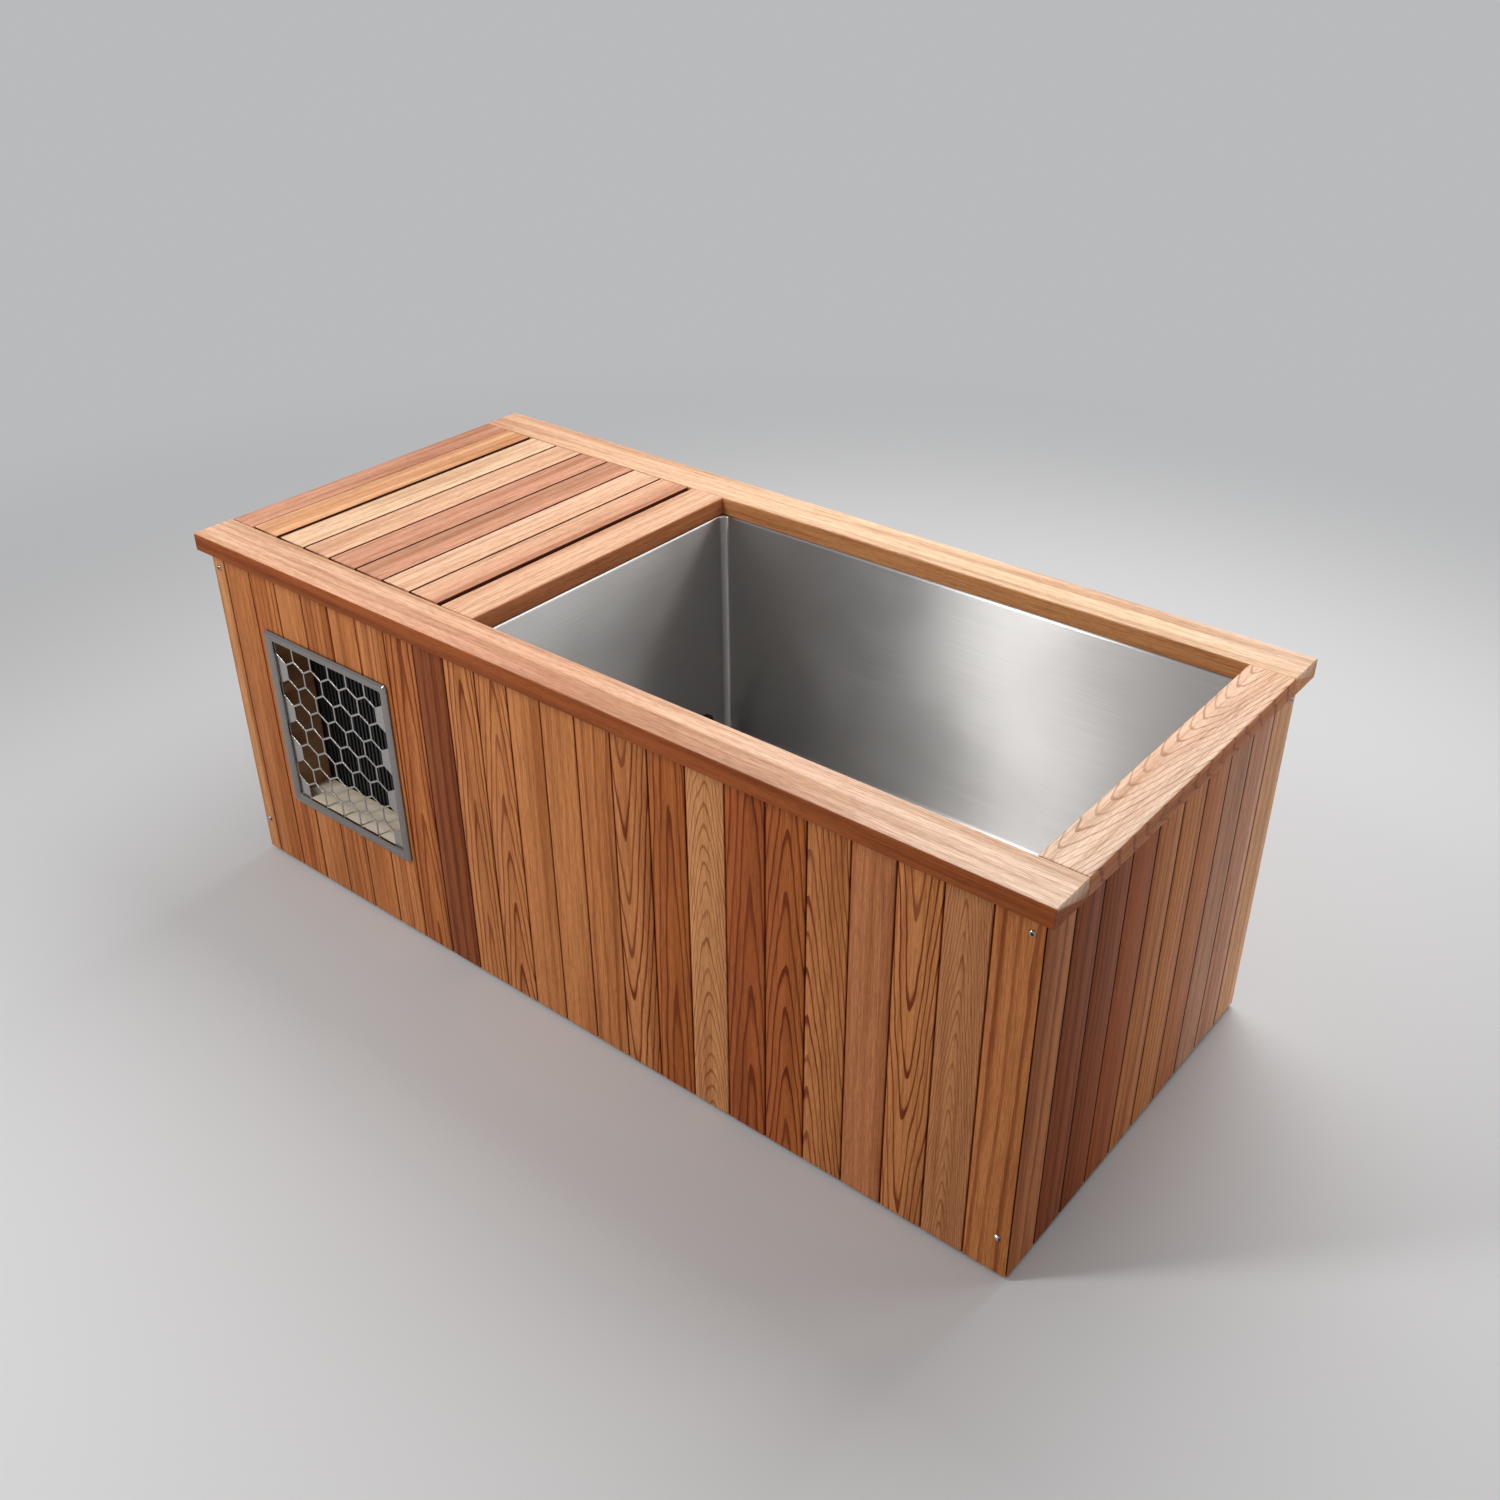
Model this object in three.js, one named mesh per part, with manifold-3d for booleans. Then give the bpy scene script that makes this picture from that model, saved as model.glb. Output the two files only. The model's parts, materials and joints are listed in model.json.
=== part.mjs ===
// Cold plunge tub: a stainless basin in a timber carcass clad with upright cedar boards. A cedar rim caps it,
// and at the left end an equipment bay with the chiller, pump and filter lies under a slatted lift-out hatch.
// Millimetres, +Z up. The origin is at the middle of the footprint, on the floor. X runs along the tub, the
// bay is at -X and the vent looks out to -Y.
import * as THREE from "three";
import { mergeVertices } from "three/addons/utils/BufferGeometryUtils.js";
import Module from "manifold-3d";

const wasm = await Module();
wasm.setup();

// Overall sizes, over the rim
const LENGTH = 1900;
const WIDTH = 860;
const HEIGHT = 750;
const TUB_DEPTH = 540;
const HATCH_LENGTH = 551;
const FIT = 0.3;

// Rim boards
const RIM_THICK = 36;
const RIM_OVERHANG = 18;
const SIDE_RAIL_WIDTH = 90;
const END_RAIL_WIDTH = 81;
const HATCH_RAIL_WIDTH = 62;
const CROSS_RAIL_WIDTH = 83;
const RIM_ROUND = 6;
const EDGE_EASE = 2.5;

// Hatch: one fixed slat, then the lift-out panel between two finger gaps
const SLAT_COUNT = 7;
const SLAT_THICK = 20;
const SLAT_GAP = 4;
const SLAT_END_GAP = 3;
const FINGER_GAP = 10;
const BATTEN_WIDTH = 45;
const BATTEN_THICK = 18;
const BATTEN_INSET = 110;
const LEDGER_WIDTH = 22;
const LEDGER_DROP = 20;

// Cladding boards, with a V-groove at every joint; each long side starts with a narrow board
const FRONT_BOARDS = 24;
const NARROW_BOARD = 36;
const END_BOARDS = 10;
const BOARD_THICK = 18;
const FLOOR_GAP = 8;
const GROOVE_WIDTH = 4;
const GROOVE_DEPTH = 5;
const CORNER_EASE = 1.5;

// Carcass
const SILL_WIDTH = 45;
const DECK_THICK = 27;
const POST_SIZE = 40;
const PLATE_DEPTH = 40;
const BULKHEAD_THICK = 22;
const FLOOR_FOAM = 60;
const BULKHEAD_FOAM = 18;

// Basin liner
const LINER_INSET = 3;
const LINER_GAUGE = 2;
const LINER_CORNER = 16;
const LINER_COVE = 12;
const LINER_LIP = 4;
const LINER_FLANGE = 30;

// Vent: raised frame, honeycomb sheet and air duct
const VENT_WIDTH = 364;
const VENT_HEIGHT = 398;
const VENT_FROM_SIDE = 304;
const VENT_ABOVE_DECK = 41;
const VENT_BORDER = 20;
const VENT_LAND = 11;
const VENT_PROUD = 8;
const VENT_STEP = 4;
const VENT_CORNER = 8;
const HEX_PITCH = 54;
const HEX_WEB = 4;
const HEX_MARGIN = 3;
const SHEET_GAUGE = 2;
const DUCT_WALL = 6;
const DUCT_DEPTH = 75;

// Chiller
const TRAY_GAUGE = 2;
const TRAY_LIP = 20;
const TRAY_MARGIN = 12;
const COIL_DEPTH = 44;
const COIL_CHEEK = 10;
const FIN_PITCH = 12;
const FIN_THICK = 5;
const FIN_DEPTH = 14;
const SHROUD_GAUGE = 3;
const SHROUD_DEPTH = 60;
const SHROUD_MARGIN = 6;
const SPIDER_ARM = 14;
const SPIDER_THICK = 4;
const BLADE_COUNT = 5;
const BLADE_PITCH = 28;
const BLADE_THICK = 2.4;
const BLADE_ROOT = 32;
const BLADE_SUNK = 8;
const TIP_CLEARANCE = 5;
const HUB_RADIUS = 40;
const HUB_LENGTH = 26;
const HUB_EASE = 5;
const SHAFT_RADIUS = 5;
const MOTOR_RADIUS = 44;
const MOTOR_LENGTH = 58;
const MOTOR_SHOULDER = 12;
const MOTOR_EASE = 4;
const MOTOR_CROWN = 16;
const COMPRESSOR_RADIUS = 72;
const COMPRESSOR_HEIGHT = 245;
const COMPRESSOR_FOOT = 8;
const COMPRESSOR_FOOT_LIP = 6;
const COMPRESSOR_FOOT_FILLET = 4;
const CAN_SEAM = 2;
const CAN_CROWN = 2;
const TERMINAL_WIDTH = 44;
const TERMINAL_SUNK = 10;
const TERMINAL_PROUD = 12;
const STUB_RADIUS = 6;
const STUB_RISE = 25;
const EXCHANGER_RADIUS = 52;
const EXCHANGER_HEIGHT = 320;
const CAP_LIP = 5;
const CAP_EASE = 2;
const CAP_BELOW = 26;
const CAP_ABOVE = 32;
const CAP_DOME = 10;
const SERVICE_GAP = 15;

// Water circuit
const PIPE_RADIUS = 19;
const PIPE_WALL = 3;
const PIPE_BEND = 36;
const PORT_LENGTH = 20;
const FITTING_RADIUS = 25;
const FITTING_PROUD = 9;
const FITTING_EASE = 4;
const FITTING_ABOVE_COVE = 3;
const STEM_RADIUS = 16;
const STRAINER_SLOTS = 4;
const STRAINER_PITCH = 8;
const STRAINER_SLOT = 4;
const NOZZLE_SEAT = 2;
const NOZZLE_BORE = 8;
const NOZZLE_MOUTH = 10;
const NOZZLE_LIP = 14;
const NOZZLE_RISE = 3;
const SUCTION_FROM_BACK = 74;
const RETURN_BELOW_TOP = 55;
const PUMP_LENGTH = 268;
const VOLUTE_RADIUS = 70;
const PUMP_MOTOR_RADIUS = 58;
const UNION_WALL = 10;
const VOLUTE_EASE = 6;
const NECK_STEP = 12;
const NECK_LENGTH = 12;
const NECK_EASE = 4;
const COWL_LENGTH = 44;
const COWL_PROUD = 4;
const COWL_EASE = 2;
const COWL_DOME = 10;
const COWL_CROWN = 8;
const FOOT_FROM_COWL = 60;
const FOOT_FROM_VOLUTE = 30;
const FOOT_INSET = 8;
const FILTER_RADIUS = 82;
const FILTER_WALL = 5;
const FILTER_HEIGHT = 400;
const FILTER_INLET_HEIGHT = 300;
const FILTER_OUTLET_HEIGHT = 150;
const MOUTH_HEIGHT = 14;
const MOUTH_LIP = 8;
const MOUTH_EASE = 2;
const LID_THICK = 14;
const LID_EASE = 4;
const GRIP_WIDTH = 18;
const GRIP_SUNK = 2;
const LUG_COUNT = 4;
const LUG_REACH = 14;
const LUG_WIDTH = 20;
const LUG_STEP = 5;
const CARTRIDGE_GAP = 5;
const PLEAT_COUNT = 24;
const PLEAT_DEPTH = 14;
const VALVE_RADIUS = 21;
const VALVE_LENGTH = 58;
const VALVE_NUT = 12;
const VALVE_WAIST = 4;
const VALVE_EASE = 2;
const BONNET_RISE = 8;
const HOSE_TAIL = 26;
const HOSE_TAIL_STEP = 2;
const HOSE_TAIL_WALL = 3;
const HOSE_TAIL_BORE = 10;
const LEVER_LENGTH = 95;
const LEVER_WIDTH = 16;
const LEVER_THICK = 5;
const LEVER_PIN = 5;
const LEVER_PIN_PROUD = 4;

// Control box and its rocker
const CONTROL_DEPTH = 80;
const CONTROL_WIDTH = 160;
const CONTROL_HEIGHT = 200;
const CONTROL_BELOW_HATCH = 60;
const COVER_THICK = 8;
const COVER_PROUD = 6;
const COVER_INSET = 5;
const GLAND_RADIUS = 11;
const GLAND_LENGTH = 20;
const GLAND_ROOT = 5;
const ROCKER_LENGTH = 30;
const ROCKER_WIDTH = 16;
const ROCKER_RISE = 4;
const ROCKER_TIP = 8;
const ROCKER_PLAY = 0.4;
const ROCKER_ROOM = 2;
const ROCKER_HORN = 1;
const ROCKER_DISH = 3;
const ROCKER_FOOT = 2;

// Proportions of curved pieces: shares of a radius, a width or a height
const STRAINER_REACH = 0.6;
const BLADE_LEADING = { bulge: 0.55, end: 0.9, sweep: -42, tip: -34 };
const BLADE_TIP = { bulge: 1.02, end: 0.93, sweep: 4, tip: 32 };
const BLADE_TRAILING = { bulge: 0.6, sweep: 22 };
const SEAM_SHARES = [0.45, 0.46, 0.49, 0.5];
const SHOULDER_SHARE = 0.78;
const DOME_SHARE = { radius: 0.85, height: 0.93 };
const CROWN_SHARE = 0.5;
const TERMINAL_SHARES = [0.55, 0.75];
const STUB_SHARE = { spread: 0.4, root: 0.9 };
const CAP_CROWN_SHARE = 0.7;
const GRIP_SHARE = 0.7;
const LEVER_NOSE_SHARE = 1.4;

// Fineness of round shapes
const ROUND_STEPS = 3;
const CORNER_STEPS = 4;
const TURN_STEPS = 20;
const RING_STEPS = 32;
const PIPE_SIDES = 6;
const PIPE_RINGS = 14;
const BLADE_STEPS = 6;
const LEVER_STEPS = 8;
const STUB_SIDES = 8;
const GLAND_SIDES = 12;

// Levels, from the rim down to the floor
const rimBottom = HEIGHT - RIM_THICK;
const plateTop = rimBottom - FIT;
const plateBottom = plateTop - PLATE_DEPTH;
const slatBottom = HEIGHT - SLAT_THICK;
const battenBottom = slatBottom - FIT - BATTEN_THICK;
const linerFloor = HEIGHT - TUB_DEPTH;
const foamTop = linerFloor - LINER_GAUGE - FIT;
const foamBottom = foamTop - FLOOR_FOAM;
const deckTop = foamBottom - FIT;
const deckBottom = deckTop - DECK_THICK;
const sillTop = deckBottom - FIT;
const stand = deckTop + FIT;

// Faces, from the outside in
const rimX = LENGTH / 2;
const rimY = WIDTH / 2;
const cladX = rimX - RIM_OVERHANG;
const cladY = rimY - RIM_OVERHANG;
const frameX = cladX - BOARD_THICK - FIT;
const frameY = cladY - BOARD_THICK - FIT;
const rimInnerY = rimY - SIDE_RAIL_WIDTH;
const hatchX0 = -rimX + HATCH_RAIL_WIDTH;
const hatchX1 = hatchX0 + HATCH_LENGTH;
const basinX0 = hatchX1 + CROSS_RAIL_WIDTH;
const basinX1 = rimX - END_RAIL_WIDTH;
const linerX0 = basinX0 + LINER_INSET;
const linerX1 = basinX1 - LINER_INSET;
const linerY = rimInnerY - LINER_INSET;
const bulkheadX1 = linerX0 - LINER_GAUGE - BULKHEAD_FOAM - 2 * FIT;
const bulkheadX0 = bulkheadX1 - BULKHEAD_THICK;
const plateInnerY = linerY + LINER_GAUGE + LINER_LIP;
const plateInnerX = linerX1 + LINER_GAUGE + LINER_LIP;
const postX = frameX - POST_SIZE;
const postY = frameY - POST_SIZE;

// The chiller stands behind the vent
const ventX = -frameX + VENT_FROM_SIDE;
const ventBottom = deckTop + VENT_ABOVE_DECK;
const ventZ = ventBottom + VENT_HEIGHT / 2;
const airWidth = VENT_WIDTH - 2 * VENT_BORDER;
const airHeight = VENT_HEIGHT - 2 * VENT_BORDER;
const sheetWidth = airWidth + 2 * DUCT_WALL;
const sheetHeight = airHeight + 2 * DUCT_WALL;
const ductBackY = -cladY + DUCT_DEPTH;
const trayFrontY = ductBackY + FIT;
const trayFloor = stand + TRAY_GAUGE;
const coilY0 = trayFrontY + TRAY_GAUGE + FIT;
const coilY1 = coilY0 + COIL_DEPTH;
const coilTop = ventZ + sheetHeight / 2;
const fanY = coilY1 + FIT;
const ringRadius = airWidth / 2 - SHROUD_GAUGE - SHROUD_MARGIN;
const motorBackY = fanY + SHROUD_DEPTH + FIT + MOTOR_LENGTH;
const compressorX = ventX - airWidth / 2 + COMPRESSOR_RADIUS;
const compressorY = motorBackY + SERVICE_GAP + COMPRESSOR_RADIUS;
const exchangerX = ventX + airWidth / 2 - EXCHANGER_RADIUS;
const exchangerY = motorBackY + SERVICE_GAP + EXCHANGER_RADIUS;
const trayBackY = compressorY + COMPRESSOR_RADIUS + TRAY_MARGIN;
const trayX0 = ventX - airWidth / 2 - TRAY_MARGIN;
const trayX1 = ventX + airWidth / 2 + TRAY_MARGIN;

// The pump lies behind the chiller, in line with the suction fitting, and the filter stands at its far end
const suctionY = linerY - SUCTION_FROM_BACK;
const suctionZ = linerFloor + LINER_COVE + FITTING_RADIUS + FITTING_ABOVE_COVE;
const returnZ = trayFloor + FIT + EXCHANGER_HEIGHT - RETURN_BELOW_TOP;
const pumpX1 = bulkheadX0 - FIT;
const voluteX = pumpX1 - PORT_LENGTH - VOLUTE_RADIUS / 2;
const filterX = -postX + SERVICE_GAP + FILTER_RADIUS;
const filterInletZ = stand + FILTER_INLET_HEIGHT;
const filterOutletZ = stand + FILTER_OUTLET_HEIGHT;
const valveY = suctionY - VOLUTE_RADIUS - PORT_LENGTH - FIT;
const controlTop = battenBottom - CONTROL_BELOW_HATCH;
const controlX1 = bulkheadX0 - FIT;
const controlY1 = suctionY - PIPE_RADIUS - 2 * SERVICE_GAP;

const AXIS_X = new THREE.Vector3(1, 0, 0);
const AXIS_Y = new THREE.Vector3(0, 1, 0);
const AXIS_Z = new THREE.Vector3(0, 0, 1);

// Positions only, shared corners welded, no collapsed triangles, faces turned outwards.
function closed(geometry) {
  const bare = new THREE.BufferGeometry();
  bare.setAttribute("position", geometry.attributes.position.clone());
  bare.setIndex(geometry.index ? geometry.index.clone() : null);
  const welded = mergeVertices(bare);
  const corners = welded.index.array;
  const kept = [];
  for (let i = 0; i < corners.length; i += 3) {
    const [a, b, c] = [corners[i], corners[i + 1], corners[i + 2]];
    if (a !== b && b !== c && c !== a) kept.push(a, b, c);
  }
  const place = welded.attributes.position;
  const [p, q, r] = [new THREE.Vector3(), new THREE.Vector3(), new THREE.Vector3()];
  let volume = 0;
  for (let i = 0; i < kept.length; i += 3) {
    p.fromBufferAttribute(place, kept[i]);
    q.fromBufferAttribute(place, kept[i + 1]);
    r.fromBufferAttribute(place, kept[i + 2]);
    volume += p.dot(q.cross(r));
  }
  if (volume < 0) kept.reverse();
  welded.setIndex(kept);
  return welded;
}

function solidOf(geometry) {
  const skin = closed(geometry);
  const vertProperties = new Float32Array(skin.attributes.position.array);
  const triVerts = new Uint32Array(skin.index.array);
  return new wasm.Manifold(new wasm.Mesh({ numProp: 3, vertProperties, triVerts }));
}

function geometryOf(solid) {
  const mesh = solid.getMesh();
  const geometry = new THREE.BufferGeometry();
  geometry.setAttribute("position", new THREE.BufferAttribute(mesh.vertProperties.slice(), 3));
  geometry.setIndex(new THREE.BufferAttribute(mesh.triVerts.slice(), 1));
  return geometry;
}

function join(first, ...others) {
  return geometryOf(others.reduce((sum, other) => sum.add(solidOf(other)), solidOf(first)));
}

function cut(body, ...tools) {
  return geometryOf(tools.reduce((rest, tool) => rest.subtract(solidOf(tool)), solidOf(body)));
}

function common(first, second) {
  return geometryOf(solidOf(first).intersect(solidOf(second)));
}

// A finish gives every piece a material of its own.
const finish = (color, roughness, metalness = 0) => () =>
  new THREE.MeshStandardMaterial({ color, roughness, metalness });
const cedar = finish(0xb4875d, 0.5);
const paleCedar = finish(0xc49a70, 0.5);
const plywood = finish(0xc6a679, 0.65);
const framing = finish(0xc9ad83, 0.7);
const foam = finish(0xdcd8c6, 0.9);
const stainless = finish(0xb9bcbe, 0.32, 1);
const aluminium = finish(0xa9adb0, 0.4, 1);
const galvanised = finish(0x9ba0a3, 0.45, 1);
const blackPaint = finish(0x222426, 0.45);
const blackPlastic = finish(0x1a1b1c, 0.5);
const greyPlastic = finish(0x8d9193, 0.5);
const whitePipe = finish(0xdcdcd6, 0.4);
const brass = finish(0xb08d4a, 0.35, 1);
const redLever = finish(0xa02822, 0.45);

function add(group, name, geometry, material, position = [0, 0, 0]) {
  const mesh = new THREE.Mesh(closed(geometry), material());
  mesh.name = name;
  mesh.position.set(...position);
  group.add(mesh);
  return mesh;
}

// A square-edged block between two corners, as [low, high] along each axis.
function block([x0, x1], [y0, y1], [z0, z1]) {
  const box = new THREE.BoxGeometry(x1 - x0, y1 - y0, z1 - z0);
  return box.translate((x0 + x1) / 2, (y0 + y1) / 2, (z0 + z1) / 2);
}

// A round bar between two points.
function bar(radius, from, to, sides = TURN_STEPS) {
  const start = new THREE.Vector3(...from);
  const run = new THREE.Vector3(...to).sub(start);
  const geometry = new THREE.CylinderGeometry(radius, radius, run.length(), sides);
  geometry.translate(0, run.length() / 2, 0);
  geometry.applyQuaternion(new THREE.Quaternion().setFromUnitVectors(AXIS_Y, run.normalize()));
  return geometry.translate(start.x, start.y, start.z);
}

// A turned shape: [radius, distance] pairs about an axis that starts at origin.
function turned(profile, origin, axis, steps = TURN_STEPS) {
  const geometry = new THREE.LatheGeometry(profile.map(([r, d]) => new THREE.Vector2(r, d)), steps);
  geometry.applyQuaternion(new THREE.Quaternion().setFromUnitVectors(AXIS_Y, axis));
  return geometry.translate(...origin);
}

function extruded(shape, depth, curveSegments = ROUND_STEPS) {
  return new THREE.ExtrudeGeometry(shape, { depth, bevelEnabled: false, curveSegments });
}

// A section drawn in (y, z), run from x0 to x1.
function alongX(section, x0, x1) {
  const geometry = extruded(section, x1 - x0);
  return geometry.applyMatrix4(new THREE.Matrix4().makeBasis(AXIS_Y, AXIS_Z, AXIS_X)).translate(x0, 0, 0);
}

// A section drawn in (x, z), run from y0 to y1.
function alongY(section, y0, y1) {
  const geometry = extruded(section, y1 - y0);
  return geometry.rotateX(Math.PI / 2).translate(0, y1, 0);
}

// A board's section with rounded corners: radii in the order low-left, low-right, top-right, top-left.
function boardSection([a0, a1], [z0, z1], [lowLeft, lowRight, topRight, topLeft]) {
  const shape = new THREE.Shape();
  shape.moveTo(a0 + lowLeft, z0);
  shape.lineTo(a1 - lowRight, z0);
  if (lowRight) shape.quadraticCurveTo(a1, z0, a1, z0 + lowRight);
  shape.lineTo(a1, z1 - topRight);
  if (topRight) shape.quadraticCurveTo(a1, z1, a1 - topRight, z1);
  shape.lineTo(a0 + topLeft, z1);
  if (topLeft) shape.quadraticCurveTo(a0, z1, a0, z1 - topLeft);
  shape.lineTo(a0, z0 + lowLeft);
  if (lowLeft) shape.quadraticCurveTo(a0, z0, a0 + lowLeft, z0);
  return shape;
}

function rectangle(width, height, hole = null) {
  const shape = new THREE.Shape();
  shape.moveTo(-width / 2, -height / 2);
  shape.lineTo(width / 2, -height / 2);
  shape.lineTo(width / 2, height / 2);
  shape.lineTo(-width / 2, height / 2);
  shape.closePath();
  if (hole) shape.holes.push(hole);
  return shape;
}

// Skin over a row of rounded rectangles {x, y, radius, z}. A loop closes on itself, a row has capped ends.
function loft(rings, loop) {
  const around = 4 * (CORNER_STEPS + 1);
  const points = [];
  for (const { x, y, radius, z } of rings) {
    for (let corner = 0; corner < 4; corner += 1) {
      const [sx, sy] = [[1, 1], [-1, 1], [-1, -1], [1, -1]][corner];
      for (let step = 0; step <= CORNER_STEPS; step += 1) {
        const angle = (corner + step / CORNER_STEPS) * Math.PI / 2;
        const [outX, outY] = [radius * Math.cos(angle), radius * Math.sin(angle)];
        points.push(sx * (x - radius) + outX, sy * (y - radius) + outY, z);
      }
    }
  }
  const faces = [];
  const bands = loop ? rings.length : rings.length - 1;
  for (let band = 0; band < bands; band += 1) {
    const here = band * around;
    const next = ((band + 1) % rings.length) * around;
    for (let i = 0; i < around; i += 1) {
      const j = (i + 1) % around;
      faces.push(here + i, here + j, next + j, here + i, next + j, next + i);
    }
  }
  const last = (rings.length - 1) * around;
  for (let i = 1; i < around - 1 && !loop; i += 1) {
    faces.push(0, i + 1, i, last, last + i, last + i + 1);
  }
  const geometry = new THREE.BufferGeometry();
  geometry.setAttribute("position", new THREE.Float32BufferAttribute(points, 3));
  geometry.setIndex(faces);
  return geometry;
}

// A pipe with round bends at the inner points of its route.
function pipe(route) {
  const points = route.map((point) => new THREE.Vector3(...point));
  const path = new THREE.CurvePath();
  let from = points[0];
  for (let i = 1; i < points.length - 1; i += 1) {
    const corner = points[i];
    const before = corner.clone().add(points[i - 1].clone().sub(corner).setLength(PIPE_BEND));
    const after = corner.clone().add(points[i + 1].clone().sub(corner).setLength(PIPE_BEND));
    path.add(new THREE.LineCurve3(from, before));
    path.add(new THREE.QuadraticBezierCurve3(before, corner, after));
    from = after;
  }
  path.add(new THREE.LineCurve3(from, points[points.length - 1]));
  const section = new THREE.Shape().absarc(0, 0, PIPE_RADIUS, 0, 2 * Math.PI);
  section.holes.push(new THREE.Path().absarc(0, 0, PIPE_RADIUS - PIPE_WALL, 0, 2 * Math.PI));
  const steps = points.length > 2 ? PIPE_RINGS : 1;
  return new THREE.ExtrudeGeometry(section, { steps, extrudePath: path, curveSegments: PIPE_SIDES });
}

const tub = new THREE.Group();
const carcass = new THREE.Group();
const casing = new THREE.Group();
const rim = new THREE.Group();
const hatch = new THREE.Group();
const basin = new THREE.Group();
const vent = new THREE.Group();
const chiller = new THREE.Group();
const water = new THREE.Group();
const control = new THREE.Group();
tub.add(carcass, casing, rim, hatch, basin, vent, chiller, water, control);

// Base: two long sills, three joists between them and the deck that carries the water
const joistY = [-frameY + SILL_WIDTH + FIT, frameY - SILL_WIDTH - FIT];
const bulkheadMiddle = (bulkheadX0 + bulkheadX1) / 2;
const sillZ = [0, sillTop];
add(carcass, "sill_front", block([-frameX, frameX], [-frameY, -frameY + SILL_WIDTH], sillZ), framing);
add(carcass, "sill_back", block([-frameX, frameX], [frameY - SILL_WIDTH, frameY], sillZ), framing);
const joists = { left: -frameX, bulkhead: bulkheadMiddle - SILL_WIDTH / 2, right: frameX - SILL_WIDTH };
for (const [place, x] of Object.entries(joists)) {
  add(carcass, `joist_${place}`, block([x, x + SILL_WIDTH], joistY, sillZ), framing);
}
add(carcass, "deck", block([-frameX, frameX], [-frameY, frameY], [deckBottom, deckTop]), plywood);

// Four corner posts on the deck
const postBoxes = [];
for (const [side, x] of [["left", -frameX], ["right", postX]]) {
  for (const [face, y] of [["front", -frameY], ["back", postY]]) {
    const post = block([x, x + POST_SIZE], [y, y + POST_SIZE], [stand, plateBottom - FIT]);
    add(carcass, `post_${face}_${side}`, post, framing);
    postBoxes.push(block(
      [x - FIT, x + POST_SIZE + FIT], [y - FIT, y + POST_SIZE + FIT], [stand, plateBottom]));
  }
}

// Top plates under the rim, rebated for the liner's flange
const flangeX0 = linerX0 - LINER_GAUGE - LINER_FLANGE;
const flangeX1 = linerX1 + LINER_GAUGE + LINER_FLANGE;
const flangeY = linerY + LINER_GAUGE + LINER_FLANGE;
const rebate = block(
  [flangeX0 - FIT, flangeX1 + FIT], [-flangeY - FIT, flangeY + FIT],
  [plateTop - LINER_GAUGE - FIT, rimBottom]);
const plateZ = [plateBottom, plateTop];
const endPlateY = [-plateInnerY + FIT, plateInnerY - FIT];
add(carcass, "plate_front", cut(block([-frameX, frameX], [-frameY, -plateInnerY], plateZ), rebate), framing);
add(carcass, "plate_back", cut(block([-frameX, frameX], [plateInnerY, frameY], plateZ), rebate), framing);
add(carcass, "plate_left", block([-frameX, hatchX0 - FIT], endPlateY, plateZ), framing);
add(carcass, "plate_right", cut(block([plateInnerX, frameX], endPlateY, plateZ), rebate), framing);

// Bulkhead between the bay and the basin, notched round the long plates, with a hole for each fitting's stem
const bulkheadTop = plateTop - LINER_GAUGE - FIT;
const bulkheadShape = new THREE.Shape();
bulkheadShape.moveTo(-frameY, stand);
bulkheadShape.lineTo(frameY, stand);
bulkheadShape.lineTo(frameY, plateBottom - FIT);
bulkheadShape.lineTo(plateInnerY - FIT, plateBottom - FIT);
bulkheadShape.lineTo(plateInnerY - FIT, bulkheadTop);
bulkheadShape.lineTo(-plateInnerY + FIT, bulkheadTop);
bulkheadShape.lineTo(-plateInnerY + FIT, plateBottom - FIT);
bulkheadShape.lineTo(-frameY, plateBottom - FIT);
const stemHoles = [[suctionY, suctionZ], [exchangerY, returnZ]].map(
  ([y, z]) => bar(STEM_RADIUS + FIT, [bulkheadX0 - FIT, y, z], [linerX0 + LINER_GAUGE, y, z]));
add(carcass, "bulkhead", cut(alongX(bulkheadShape, bulkheadX0, bulkheadX1), ...stemHoles), plywood);

// Insulation fills the cavity between the cladding and the liner, notched round the posts
const linerBox = block(
  [linerX0 - LINER_GAUGE - FIT, linerX1 + LINER_GAUGE + FIT],
  [-linerY - LINER_GAUGE - FIT, linerY + LINER_GAUGE + FIT],
  [foamTop, rimBottom]);
const foamBlock = block([bulkheadX1 + FIT, frameX], [-frameY, frameY], [foamBottom, plateBottom - FIT]);
add(basin, "insulation", cut(foamBlock, linerBox, ...postBoxes, ...stemHoles), foam);

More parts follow.
